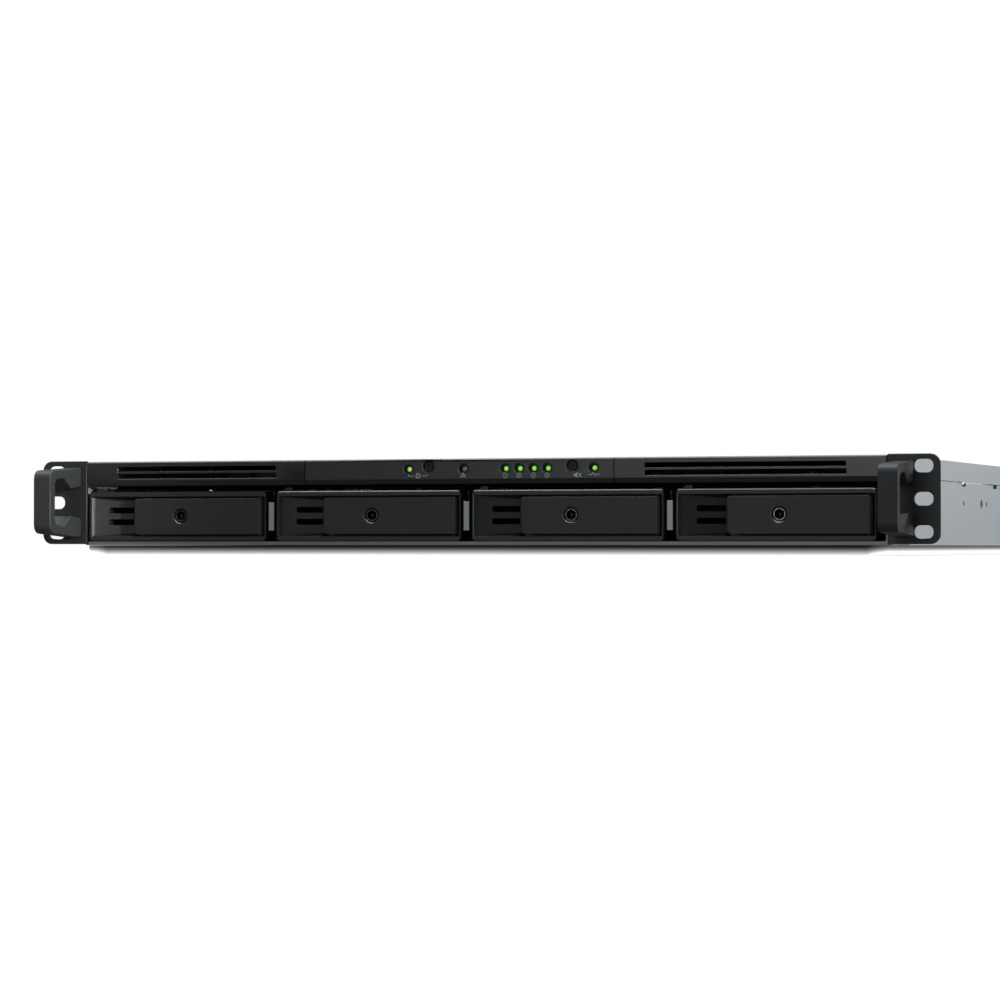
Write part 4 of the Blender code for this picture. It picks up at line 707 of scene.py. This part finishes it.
def screw_recipe():
    """A pan-head screw with a cross recess on every point, aimed along the point's direction."""
    r = Recipe("pan_head_screw", Head_radius=2.8 * MM, Head_height=1.5 * MM, Shank_radius=1.4 * MM,
               Shank_length=4 * MM)
    radius, height = r.inputs["Head radius"], r.inputs["Head height"]
    head = r.add("GeometryNodeMeshCylinder", {}, {
        "Vertices": 24, "Side Segments": 4, "Radius": radius, "Depth": height})
    rise = r.add("ShaderNodeMapRange", {}, {0: r.apart()["Z"], 1: -0.1 * MM, 2: height * 0.5})
    head = r.moved(r.slimmed(head, 1.0 - rise ** 2.0 * 0.3), Translation=r.vector(z=height * 0.5))
    shank = r.add("GeometryNodeMeshCylinder", {}, {
        "Vertices": 16, "Radius": r.inputs["Shank radius"], "Depth": r.inputs["Shank length"]})
    shank = r.moved(shank, Translation=r.vector(z=r.inputs["Shank length"] * -0.5 + 0.1 * MM))
    arms = []
    for across, along in ((0.24, 1.15), (1.15, 0.24)):
        bar = r.add("GeometryNodeMeshCube", {}, {"Size": r.vector(radius * across, radius * along, height)})
        arms.append(r.moved(bar, Translation=r.vector(z=height * 1.05)))
    cut = r.add("GeometryNodeMeshBoolean", {"operation": "DIFFERENCE", "solver": "EXACT"}, {"Mesh 1": head})
    for arm in arms:
        r.tree.links.new(arm.socket, cut.socket.node.inputs["Mesh 2"])
    aim = r.add("GeometryNodeInputNamedAttribute", {"data_type": "FLOAT_VECTOR"}, {"Name": "aim"})
    turn = r.add("FunctionNodeAlignRotationToVector", {"axis": "Z"}, {"Vector": aim})
    return r.close(r.placed(r.inputs["Geometry"], r.joined(cut, shank), Rotation=turn))


EAR_FLANGE = 217.3 * MM            # outer face of the ear's side flange from the middle
EAR_BACK = 2.02 * MM               # back of the ear from its face
HANDLE_SCREW_RISE = 13.25 * MM     # of each handle screw from the handle's middle


class ENCLOSURE_OT_screws(Operator):
    """Screws of the ears, handles and cover"""
    bl_idname = "enclosure.screws"
    bl_label = "Screws"

    def execute(self, context):
        screw = screw_recipe()
        head, height = sizes().screw_radius, sizes().screw_height
        for side, sign in (("left", -1), ("right", 1)):
            seats = [(sign * EAR_FLANGE, FRONT + back * MM, z * MM) for back, z in ((12, 8), (12, 28), (34, 18))]
            piece = screw.make(side + "_ear_screws", points(seats, (sign, 0, 0)), finishes().black_zinc,
                               Head_radius=head, Head_height=height, Shank_radius=1.4 * MM, Shank_length=5.0 * MM)
            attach(piece, "chassis")
            low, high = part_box(side + "_handle")
            middle = (low.z + high.z) / 2
            seats = [((low.x + high.x) / 2, FRONT + EAR_BACK, middle + step * HANDLE_SCREW_RISE) for step in (-1, 1)]
            piece = screw.make(side + "_handle_screws", points(seats, (0, 1, 0)), finishes().black_zinc,
                               Head_radius=3.4 * MM, Head_height=1.8 * MM, Shank_radius=1.8 * MM,
                               Shank_length=9 * MM)
            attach(piece, "chassis")
        for number in (1, 2, 3):
            low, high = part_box(f"cover_screw_{number}")
            seat = ((low.x + high.x) / 2, high.y - 1.8 * MM, (low.z + high.z) / 2)
            piece = screw.make(f"cover_screw_{number}_head", points([seat], (0, 1, 0)), finishes().zinc,
                               Head_radius=head, Head_height=1.75 * MM, Shank_radius=1.4 * MM, Shank_length=3.2 * MM)
            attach(piece, "chassis")
            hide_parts(f"cover_screw_{number}")
        return {"FINISHED"}


# ---------------------------------------------------------------- front strip
LAMP_X = [x * MM for x in (-33.1, 18.7, 26.1, 33.5, 40.9, 65.2)]
ALERT_X = -3.4 * MM
LAMP_Z = PANEL_TOP - 5.1 * MM


class ENCLOSURE_OT_front_strip(Operator):
    """Moulded strip above the bays, in three lengths"""
    bl_idname = "enclosure.front_strip"
    bl_label = "Front strip"

    def execute(self, context):
        # Painted shade: faces more than 1.7 mm behind the front of the strip are near black, all but its top.
        inside = (finishes().shade, lambda spot, normal: spot.y > FRONT + 1.7 * MM
                  and not (normal.z > 0.3 and spot.z > PANEL_TOP - 1 * MM))
        for node in ("left_bezel", "control_panel", "right_bezel"):
            dressed(node, finishes().bezel, sizes().moulding_edge, 0.4 * MM, painted=[inside],
                            rubbed=finishes().rubbed)
        dressed("panel_board", finishes().board, 0.1 * MM)
        return {"FINISHED"}


class ENCLOSURE_OT_lamps(Operator):
    """Lamp lenses in dark collars, over the light guide"""
    bl_idname = "enclosure.lamps"
    bl_label = "Lamps"

    def execute(self, context):
        dressed("light_guide", finishes().guide, 0.08 * MM)
        dressed("alert_lens", finishes().lamp_off, 0.08 * MM)
        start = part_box("light_guide")[0].y
        self.lenses("lamp_lenses", LAMP_X, start, finishes().lamp)
        self.lenses("alert_lens_dome", [ALERT_X], start, finishes().lamp_off)
        collars = Form()
        radius = sizes().lamp_radius
        for x in LAMP_X + [ALERT_X]:
            collars.ring((x, LAMP_Z), (radius + 0.6 * MM, radius + 0.6 * MM), (radius, radius + 0.05 * MM), "Y",
                         (start - 0.3 * MM, start - 0.02 * MM), 32)
        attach(collars.piece("lamp_collars", finishes().button), "chassis")
        return {"FINISHED"}

    def lenses(self, name, places, start, material):
        """Low domes whose rim attribute runs from 0 in the middle to 1 at the edge."""
        radius = sizes().lamp_radius - 0.02 * MM
        form = Form()
        steps = [(1.0, 0.3), (1.0, 0.0), (0.93, -0.1), (0.75, -0.18), (0.5, -0.24), (0.22, -0.27)]
        for x in places:
            form.loft([(circle(radius * k, 24, (x, LAMP_Z)), start + rise * MM) for k, rise in steps])
        piece = form.piece(name, material, smooth=60)
        rim = piece.data.attributes.new("rim", "FLOAT", "POINT")
        for vertex, item in zip(piece.data.vertices, rim.data):
            spot = min(places, key=lambda x: abs(x - vertex.co.x))
            item.value = (math.hypot(vertex.co.x - spot, vertex.co.z - LAMP_Z) / radius) ** 2
        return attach(piece, "chassis")


class ENCLOSURE_OT_buttons(Operator):
    """Power, mute and reset buttons"""
    bl_idname = "enclosure.buttons"
    bl_label = "Buttons"

    def execute(self, context):
        for node in ("power_button", "mute_button", "reset_button"):
            dressed(node, finishes().button, 0.15 * MM)
        return {"FINISHED"}


class Ink:
    """Flat printed marks on the front strip, gathered into one thin mesh."""

    def __init__(self):
        self.form = Form()
        self.span = (FRONT - sizes().ink, FRONT)

    def bar(self, start, end, width):
        """Stroke between two points, in millimetres."""
        (x0, z0), (x1, z1) = start, end
        reach = math.hypot(x1 - x0, z1 - z0)
        nx, nz = (z1 - z0) / reach * width / 2, (x0 - x1) / reach * width / 2
        self.patch([(x0 - nx, z0 - nz), (x1 - nx, z1 - nz), (x1 + nx, z1 + nz), (x0 + nx, z0 + nz)])

    def path(self, places, width, closed=False):
        ends = places[1:] + places[:1] if closed else places[1:]
        for start, end in zip(places, ends):
            self.bar(start, end, width)

    def ring(self, centre, radius, width):
        self.form.ring((centre[0] * MM, centre[1] * MM), ((radius + width / 2) * MM,) * 2,
                       ((radius - width / 2) * MM,) * 2, "Y", self.span, 20)

    def patch(self, places):
        self.form.loft([([(x * MM, z * MM) for x, z in places], level) for level in self.span])


class ENCLOSURE_OT_legends(Operator):
    """Printed pictograms and bay numbers under the lamps and buttons"""
    bl_idname = "enclosure.legends"
    bl_label = "Legends"

    def execute(self, context):
        ink = Ink()
        level = 34.8
        ink.path([(-33.0, level + 0.8), (-32.6, level), (-30.2, level)], 0.3)
        ink.path([(-25.4, level), (-23.1, level), (-22.7, level + 0.8)], 0.3)
        ink.ring((-27.8, level + 0.1), 1.05, 0.42)
        ink.bar((-27.8, level + 0.6), (-27.8, level + 1.7), 0.36)
        ink.path([(-5.0, level - 0.5), (-3.6, level + 1.5), (-2.2, level - 0.5)], 0.3, True)
        ink.bar((-3.6, level + 0.1), (-3.6, level + 0.9), 0.3)
        ink.path([(62.6, level), (64.2, level), (65.0, level + 1.1), (66.2, level - 0.6), (66.9, level + 0.3),
                  (68.4, level + 0.3)], 0.32)
        for x in LAMP_X[1:5]:
            self.rounded_box(ink, x / MM + 0.1, level, 2.1, 2.2)
        ink.patch([(54.9, level + 0.5), (55.7, level + 0.5), (56.7, level + 1.3), (56.7, level - 1.3),
                   (55.7, level - 0.5), (54.9, level - 0.5)])
        for rise in (1.0, -1.0):
            ink.bar((57.2, level + rise), (59.0, level - rise), 0.35)
        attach(ink.form.piece("legends", finishes().print), "chassis")
        for number, x in enumerate(LAMP_X[1:5], 1):
            piece = self.digit(number, x + 0.1 * MM, level * MM)
            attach(piece, "chassis")
        return {"FINISHED"}

    def rounded_box(self, ink, x, z, wide, high):
        a, b, c = wide / 2, high / 2, 0.5
        ink.path([(x - a + c, z - b), (x + a - c, z - b), (x + a, z - b + c), (x + a, z + b - c), (x + a - c, z + b),
                  (x - a + c, z + b), (x - a, z + b - c), (x - a, z - b + c)], 0.24, True)

    def digit(self, number, x, z):
        """A bay number as a thin solid."""
        name = f"bay_number_{number}"
        text = bpy.data.curves.new(name, "FONT")
        text.body, text.size, text.extrude = str(number), 1.7 * MM, sizes().ink / 2
        text.align_x, text.align_y = "CENTER", "CENTER"
        holder = bpy.data.objects.new(name, text)
        bpy.context.scene.collection.objects.link(holder)
        piece = kept(name, holder)
        place = Matrix.Translation((x, FRONT - sizes().ink / 2, z))
        piece.data.transform(place @ Matrix.Rotation(math.pi / 2, 4, "X"))
        piece.data.materials.clear()
        piece.data.materials.append(finishes().print)
        return piece


# ---------------------------------------------------------------- bays
class ENCLOSURE_OT_trays(Operator):
    """Drive trays with their finger pockets"""
    bl_idname = "enclosure.trays"
    bl_label = "Trays"

    def execute(self, context):
        for bay in BAYS:
            dressed(f"tray_{bay}", finishes().tray, 0.25 * MM, sizes().face_edge,
                            rubbed=finishes().rubbed)
        return {"FINISHED"}


class ENCLOSURE_OT_levers(Operator):
    """Release levers with a polished trim ring round the lock"""
    bl_idname = "enclosure.levers"
    bl_label = "Levers"

    def execute(self, context):
        for bay in BAYS:
            x, y, z = JOINTS[f"lock_{bay}_turn"]["pos_m"]
            trim = (finishes().lock_trim, lambda spot, normal: spot.y < FRONT + 0.75 * MM and normal.y < -0.05
                    and abs(normal.y) < 0.9 and math.hypot(spot.x - x, spot.z - z) < 4.35 * MM)
            dressed(f"tray_lever_{bay}", finishes().lever, 0.25 * MM, painted=[trim],
                            rubbed=finishes().rubbed)
        return {"FINISHED"}


class ENCLOSURE_OT_locks(Operator):
    """Lock barrels with their keyhole, and the closed mark under each"""
    bl_idname = "enclosure.locks"
    bl_label = "Locks"

    def execute(self, context):
        for bay in BAYS:
            x, y, z = JOINTS[f"lock_{bay}_turn"]["pos_m"]
            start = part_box(f"tray_lock_{bay}")[0].y
            # Painted shade: the bore of each lock is near black, and its ward takes the dark button finish.
            bore_shade = (finishes().shade, lambda spot, normal: spot.y > start + 0.25 * MM)
            dressed(f"tray_lock_{bay}", finishes().lock, 0.18 * MM, painted=[bore_shade])
            pin = Form()
            pin.loft([(circle(0.75 * MM, 16, (x, z)), start + depth * MM) for depth in (1.2, 3.2)])
            pin.box((x - 0.3 * MM, x + 0.3 * MM), (start + 0.15 * MM, start + 1.5 * MM),
                    (z - 2.5 * MM, z - 1.6 * MM))
            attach(pin.piece(f"lock_{bay}_ward", finishes().button), f"lock_{bay}")
            mark = Form()
            span = (FRONT - 0.02 * MM, FRONT + 0.05 * MM)
            mark.ring((x, z - 6.6 * MM), (0.45 * MM,) * 2, (0.25 * MM,) * 2, "Y", span, 12)
            mark.box((x - 0.55 * MM, x + 0.55 * MM), span, (z - 8.0 * MM, z - 7.1 * MM))
            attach(mark.piece(f"lock_{bay}_mark", finishes().button), f"lever_{bay}")
        return {"FINISHED"}


class ENCLOSURE_OT_drives(Operator):
    """Hard drives: cast body, brushed lid, spindle boss and lid screws"""
    bl_idname = "enclosure.drives"
    bl_label = "Drives"

    def execute(self, context):
        screw = screw_recipe()
        for bay in BAYS:
            low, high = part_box(f"drive_{bay}")
            lid = (finishes().lid, lambda spot, normal: spot.z > high.z - 1.3 * MM)
            # Painted shade: the front millimetre of each drive is near black.
            nose_shade = (finishes().shade, lambda spot, normal: spot.y < low.y + 1 * MM)
            dressed(f"drive_{bay}", finishes().drive, 0.3 * MM, painted=[lid, nose_shade])
            middle = (low.x + high.x) / 2
            boss = Form()
            boss.ring((middle, low.y + 52 * MM), (17 * MM, 16.6 * MM), (13.5 * MM, 13.9 * MM), "Z",
                      (high.z - 0.1 * MM, high.z + 0.2 * MM), 48)
            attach(boss.piece(f"drive_{bay}_boss", finishes().lid), f"tray_body_{bay}")
            seats = [(x, y, high.z) for x in (low.x + 8 * MM, high.x - 8 * MM)
                     for y in (low.y + 8 * MM, (low.y + high.y) / 2, high.y - 8 * MM)]
            piece = screw.make(f"drive_{bay}_screws", points(seats, (0, 0, 1)), finishes().zinc,
                               Head_radius=1.7 * MM, Head_height=0.2 * MM, Shank_radius=0.8 * MM,
                               Shank_length=1.0 * MM)
            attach(piece, f"tray_body_{bay}")
        return {"FINISHED"}


# ---------------------------------------------------------------- inside
def small_parts_recipe():
    """Chip parts scattered over a surface, square to the board."""
    r = Recipe("small_parts", Density=9000.0, Seed=4, Long_side=1.6 * MM, Short_side=0.8 * MM, Height=0.6 * MM)
    spread = r.add("GeometryNodeDistributePointsOnFaces", {"distribute_method": "POISSON"}, {
        "Mesh": r.inputs["Geometry"], "Distance Min": r.inputs["Long side"] * 2.2,
        "Density Max": r.inputs["Density"], "Seed": r.inputs["Seed"]})
    chip = r.add("GeometryNodeMeshCube", {}, {
        "Size": r.vector(r.inputs["Long side"], r.inputs["Short side"], r.inputs["Height"])})
    chip = r.moved(chip, Translation=r.vector(z=r.inputs["Height"] * 0.5))
    quarter = r.add("FunctionNodeRandomValue", {"data_type": "INT"}, {
        "Min": 0, "Max": 1, "Seed": r.inputs["Seed"]}, 2)
    grow = r.add("FunctionNodeRandomValue", {"data_type": "FLOAT"}, {2: 0.7, 3: 1.6, "Seed": r.inputs["Seed"]}, 1)
    return r.close(r.placed(spread, chip, Rotation=r.vector(z=quarter * (math.pi / 2)), Scale=grow))


BOARD_THICK, MODULE_THICK = 1.6 * MM, 1.2 * MM


class ENCLOSURE_OT_boards(Operator):
    """Backplane, main board, memory and heatsink, with their small parts"""
    bl_idname = "enclosure.boards"
    bl_label = "Boards"

    def execute(self, context):
        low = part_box("main_board")[0]
        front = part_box("backplane_board")[1].y - BOARD_THICK
        top = low.z + BOARD_THICK
        module_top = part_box("memory_module")[0].z + MODULE_THICK
        proud = 0.05 * MM
        for node, edge, raised in (("backplane_board", 0.12, lambda spot, normal: spot.y < front - proud),
                                   ("main_board", 0.12, lambda spot, normal: spot.z > top + proud),
                                   ("memory_module", 0.1, lambda spot, normal: spot.z > module_top + proud)):
            chips = (finishes().chip, raised)
            dressed(node, finishes().board, edge * MM, painted=[chips])
        dressed("heatsink", finishes().heatsink, 0.15 * MM)
        free = bpy.data.meshes.new("free_board")
        spans = [((22, 46), (6, 60)), ((112, 140), (4, 30)), ((160, 178), (6, 52)), ((236, 256), (6, 60)),
                 ((274, 296), (30, 64)), ((60, 84), (24, 60))]
        corners, faces = [], []
        for (x0, x1), (y0, y1) in spans:
            faces.append(tuple(range(len(corners), len(corners) + 4)))
            corners += [(low.x + x * MM, low.y + y * MM, top) for x, y in ((x0, y0), (x1, y0), (x1, y1), (x0, y1))]
        free.from_pydata(corners, [], faces)
        parts = small_parts_recipe().make("main_board_parts", free, finishes().chip, Seed=4)
        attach(parts, "chassis")
        return {"FINISHED"}


def rotor_recipe():
    """Rotor: hub and cambered blades whose pitch falls off towards the tip, spinning about Y."""
    r = Recipe("fan_rotor", Blades=7, Hub_radius=10.5 * MM, Tip_radius=18 * MM, Depth=15 * MM, Thickness=0.9 * MM,
               Root_pitch=0.95, Tip_pitch=0.65)
    hub_radius, depth = r.inputs["Hub radius"], r.inputs["Depth"]
    reach = r.inputs["Tip radius"] - hub_radius
    blade = r.add("GeometryNodeMeshCube", {}, {
        "Size": r.vector(depth * 0.9, r.inputs["Thickness"], reach),
        "Vertices X": 9, "Vertices Y": 2, "Vertices Z": 6})
    camber = (1.0 - (r.apart()["X"] * (2 / (13.5 * MM))) ** 2.0) * (1.4 * MM)
    bent = r.add("GeometryNodeSetPosition", {}, {"Geometry": blade, "Offset": r.vector(y=camber)})
    pitch = r.add("ShaderNodeMapRange", {}, {
        0: r.apart()["Z"], 1: reach * -0.5, 2: reach * 0.5, 3: r.inputs["Root pitch"], 4: r.inputs["Tip pitch"]})
    twist = r.add("ShaderNodeVectorRotate", {"rotation_type": "Z_AXIS"}, {"Vector": r.position(), "Angle": pitch})
    twisted = r.add("GeometryNodeSetPosition", {}, {"Geometry": bent, "Position": twist})
    blade = r.moved(twisted, Translation=r.vector(z=hub_radius + reach * 0.5 - 0.6 * MM))
    spots = r.add("GeometryNodeMeshLine", {"mode": "OFFSET"}, {"Count": r.inputs["Blades"], "Offset": (0, 0, 0)})
    index = r.add("GeometryNodeInputIndex")
    step = r.add("ShaderNodeMath", {"operation": "DIVIDE"}, {0: math.tau, 1: r.inputs["Blades"]})
    blades = r.placed(spots, blade, Rotation=r.vector(y=index * step))
    hub = r.add("GeometryNodeMeshCylinder", {}, {
        "Vertices": 40, "Side Segments": 10, "Radius": hub_radius, "Depth": depth})
    edge = r.add("ShaderNodeMath", {"operation": "ABSOLUTE"}, {0: r.apart()["Z"]})
    rounding = r.add("ShaderNodeMapRange", {}, {0: edge, 1: depth * 0.38, 2: depth * 0.5})
    hub = r.moved(r.slimmed(hub, 1.0 - rounding ** 2.0 * 0.09), Rotation=(math.pi / 2, 0, 0))
    whole = r.joined(r.add("GeometryNodeRealizeInstances", {}, {"Geometry": blades}), hub)
    return r.close(r.placed(r.inputs["Geometry"], whole))


class ENCLOSURE_OT_fans(Operator):
    """Fan frames and rotors"""
    bl_idname = "enclosure.fans"
    bl_label = "Fans"

    def execute(self, context):
        recipe = rotor_recipe()
        for name, body in (("fan_rotor_1", "rotor_1"), ("fan_rotor_2", "rotor_2"), ("fan_rotor_3", "rotor_3"),
                           ("psu_fan_rotor", "psu_rotor")):
            housing = name.replace("rotor", "frame")
            dressed(housing, finishes().fan, 0.2 * MM)
            low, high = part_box(name)
            spot = (low + high) / 2
            spot.x, spot.z = (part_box(housing)[0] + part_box(housing)[1]).xz / 2
            piece = recipe.make(name + "_blades", points([spot], (0, 0, 1)), finishes().fan,
                                Blades=sizes().fan_blades, Depth=high.y - low.y, Tip_radius=17.8 * MM)
            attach(piece, body)
            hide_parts(name)
        return {"FINISHED"}


# ---------------------------------------------------------------- rear sockets
def contact_recipe():
    """A row of bowed spring contacts at every point, side by side along X, reaching in along -Y."""
    r = Recipe("spring_contacts", Count=8, Pitch=1.02 * MM, Width=0.45 * MM, Thickness=0.18 * MM, Reach=7 * MM,
               Rise=3 * MM)
    reach, rise = r.inputs["Reach"], r.inputs["Rise"]
    line = r.add("GeometryNodeCurveQuadraticBezier", {}, {
        "Resolution": 8, "Start": (0, 0, 0), "Middle": r.vector(y=reach * -0.2, z=rise * 0.9),
        "End": r.vector(y=reach * -1.0, z=rise)})
    strip = r.add("GeometryNodeCurvePrimitiveQuadrilateral", {"mode": "RECTANGLE"}, {
        "Width": r.inputs["Width"], "Height": r.inputs["Thickness"]})
    wire = r.add("GeometryNodeCurveToMesh", {}, {"Curve": line, "Profile Curve": strip, "Fill Caps": True})
    offset = r.inputs["Pitch"]
    row = r.add("GeometryNodeMeshLine", {"mode": "OFFSET"}, {
        "Count": r.inputs["Count"], "Offset": r.vector(x=offset)})
    shift = (r.inputs["Count"] - 1.0) * offset * -0.5
    pins = r.moved(r.placed(row, wire), Translation=r.vector(x=shift))
    return r.close(r.placed(r.inputs["Geometry"], pins))


class ENCLOSURE_OT_sockets(Operator):
    """Network, USB and expansion sockets with their contacts, and the mains inlet with its blades"""
    bl_idname = "enclosure.sockets"
    bl_label = "Sockets"

    def execute(self, context):
        contacts = contact_recipe()
        low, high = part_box("network_jacks")
        middle = (low + high) / 2
        shell = 1 * MM
        inside = (finishes().chip, lambda spot, normal: spot.y < high.y - 0.3 * MM
                  and low.x + shell < spot.x < high.x - shell and low.z + shell < spot.z < high.z - shell)
        dressed("network_jacks", finishes().nickel, 0.2 * MM, painted=[inside])
        seats = [(middle.x + step * 7.3 * MM, high.y - 2.0 * MM, middle.z - 3.9 * MM) for step in (-1, 1)]
        piece = contacts.make("network_contacts", points(seats, (0, 0, 1)), finishes().gold,
                              Reach=9 * MM, Rise=3.5 * MM)
        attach(piece, "chassis")
        low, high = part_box("usb_ports")
        middle = (low + high) / 2
        tongue = (finishes().usb, lambda spot, normal: high.y - 11.8 * MM < spot.y < high.y - 0.7 * MM
                  and abs(spot.x - middle.x) < 5.4 * MM and 1.3 * MM < abs(spot.z - middle.z) < 6.4 * MM)
        dressed("usb_ports", finishes().nickel, 0.15 * MM, painted=[tongue])
        low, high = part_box("expansion_port")
        dressed("expansion_port", finishes().nickel, 0.2 * MM)
        seat = ((low.x + high.x) / 2, high.y - 1.5 * MM, low.z + 1.4 * MM)
        piece = contacts.make("expansion_contacts", points([seat], (0, 0, 1)), finishes().gold,
                              Count=7, Pitch=1.27 * MM, Reach=7 * MM, Rise=1.0 * MM)
        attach(piece, "chassis")
        self.inlet()
        return {"FINISHED"}

    def inlet(self):
        low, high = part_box("power_inlet")
        dressed("power_inlet", finishes().chip, 0.3 * MM)
        middle = (low + high) / 2
        blades = Form()
        wide, tall = 1.05 * MM, 2.05 * MM
        end = high.y - 5.95 * MM
        for step, rise in ((-1, -2.0), (0, 2.0), (1, -2.0)):
            x, z = middle.x + step * 7 * MM, middle.z + rise * MM
            blades.loft([(rectangle((x - wide * k, x + wide * k), (z - tall * k, z + tall * k)), end - back * MM)
                         for k, back in ((1.0, 10), (1.0, 1), (0.7, 0))])
        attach(blades.piece("inlet_blades", finishes().zinc), "chassis")


# ---------------------------------------------------------------- add-on
OPERATORS = (
    ENCLOSURE_OT_stage, ENCLOSURE_OT_chassis, ENCLOSURE_OT_ears, ENCLOSURE_OT_screws, ENCLOSURE_OT_front_strip,
    ENCLOSURE_OT_lamps, ENCLOSURE_OT_buttons, ENCLOSURE_OT_legends, ENCLOSURE_OT_trays, ENCLOSURE_OT_levers,
    ENCLOSURE_OT_locks, ENCLOSURE_OT_drives, ENCLOSURE_OT_boards, ENCLOSURE_OT_fans, ENCLOSURE_OT_sockets,
)


class ENCLOSURE_PT_panel(Panel):
    """Settings and steps of the enclosure"""
    bl_label = "Rack storage enclosure"
    bl_idname = "ENCLOSURE_PT_panel"
    bl_space_type = "VIEW_3D"
    bl_region_type = "UI"
    bl_category = "Enclosure"

    def draw(self, context):
        for settings in (context.scene.enclosure_sizes, context.scene.enclosure_colours):
            box = self.layout.box()
            for name in settings.__annotations__:
                box.prop(settings, name)
        for operator in OPERATORS:
            self.layout.operator(operator.bl_idname)


CLASSES = (EnclosureColours, EnclosureSizes, *OPERATORS, ENCLOSURE_PT_panel)


def register():
    for item in CLASSES:
        bpy.utils.register_class(item)
    bpy.types.Scene.enclosure_colours = PointerProperty(type=EnclosureColours)
    bpy.types.Scene.enclosure_sizes = PointerProperty(type=EnclosureSizes)


def unregister():
    del bpy.types.Scene.enclosure_sizes
    del bpy.types.Scene.enclosure_colours
    for item in reversed(CLASSES):
        bpy.utils.unregister_class(item)


def main():
    register()
    for operator in OPERATORS:
        group, name = operator.bl_idname.split(".")
        getattr(getattr(bpy.ops, group), name)()


if __name__ == "__main__":
    main()
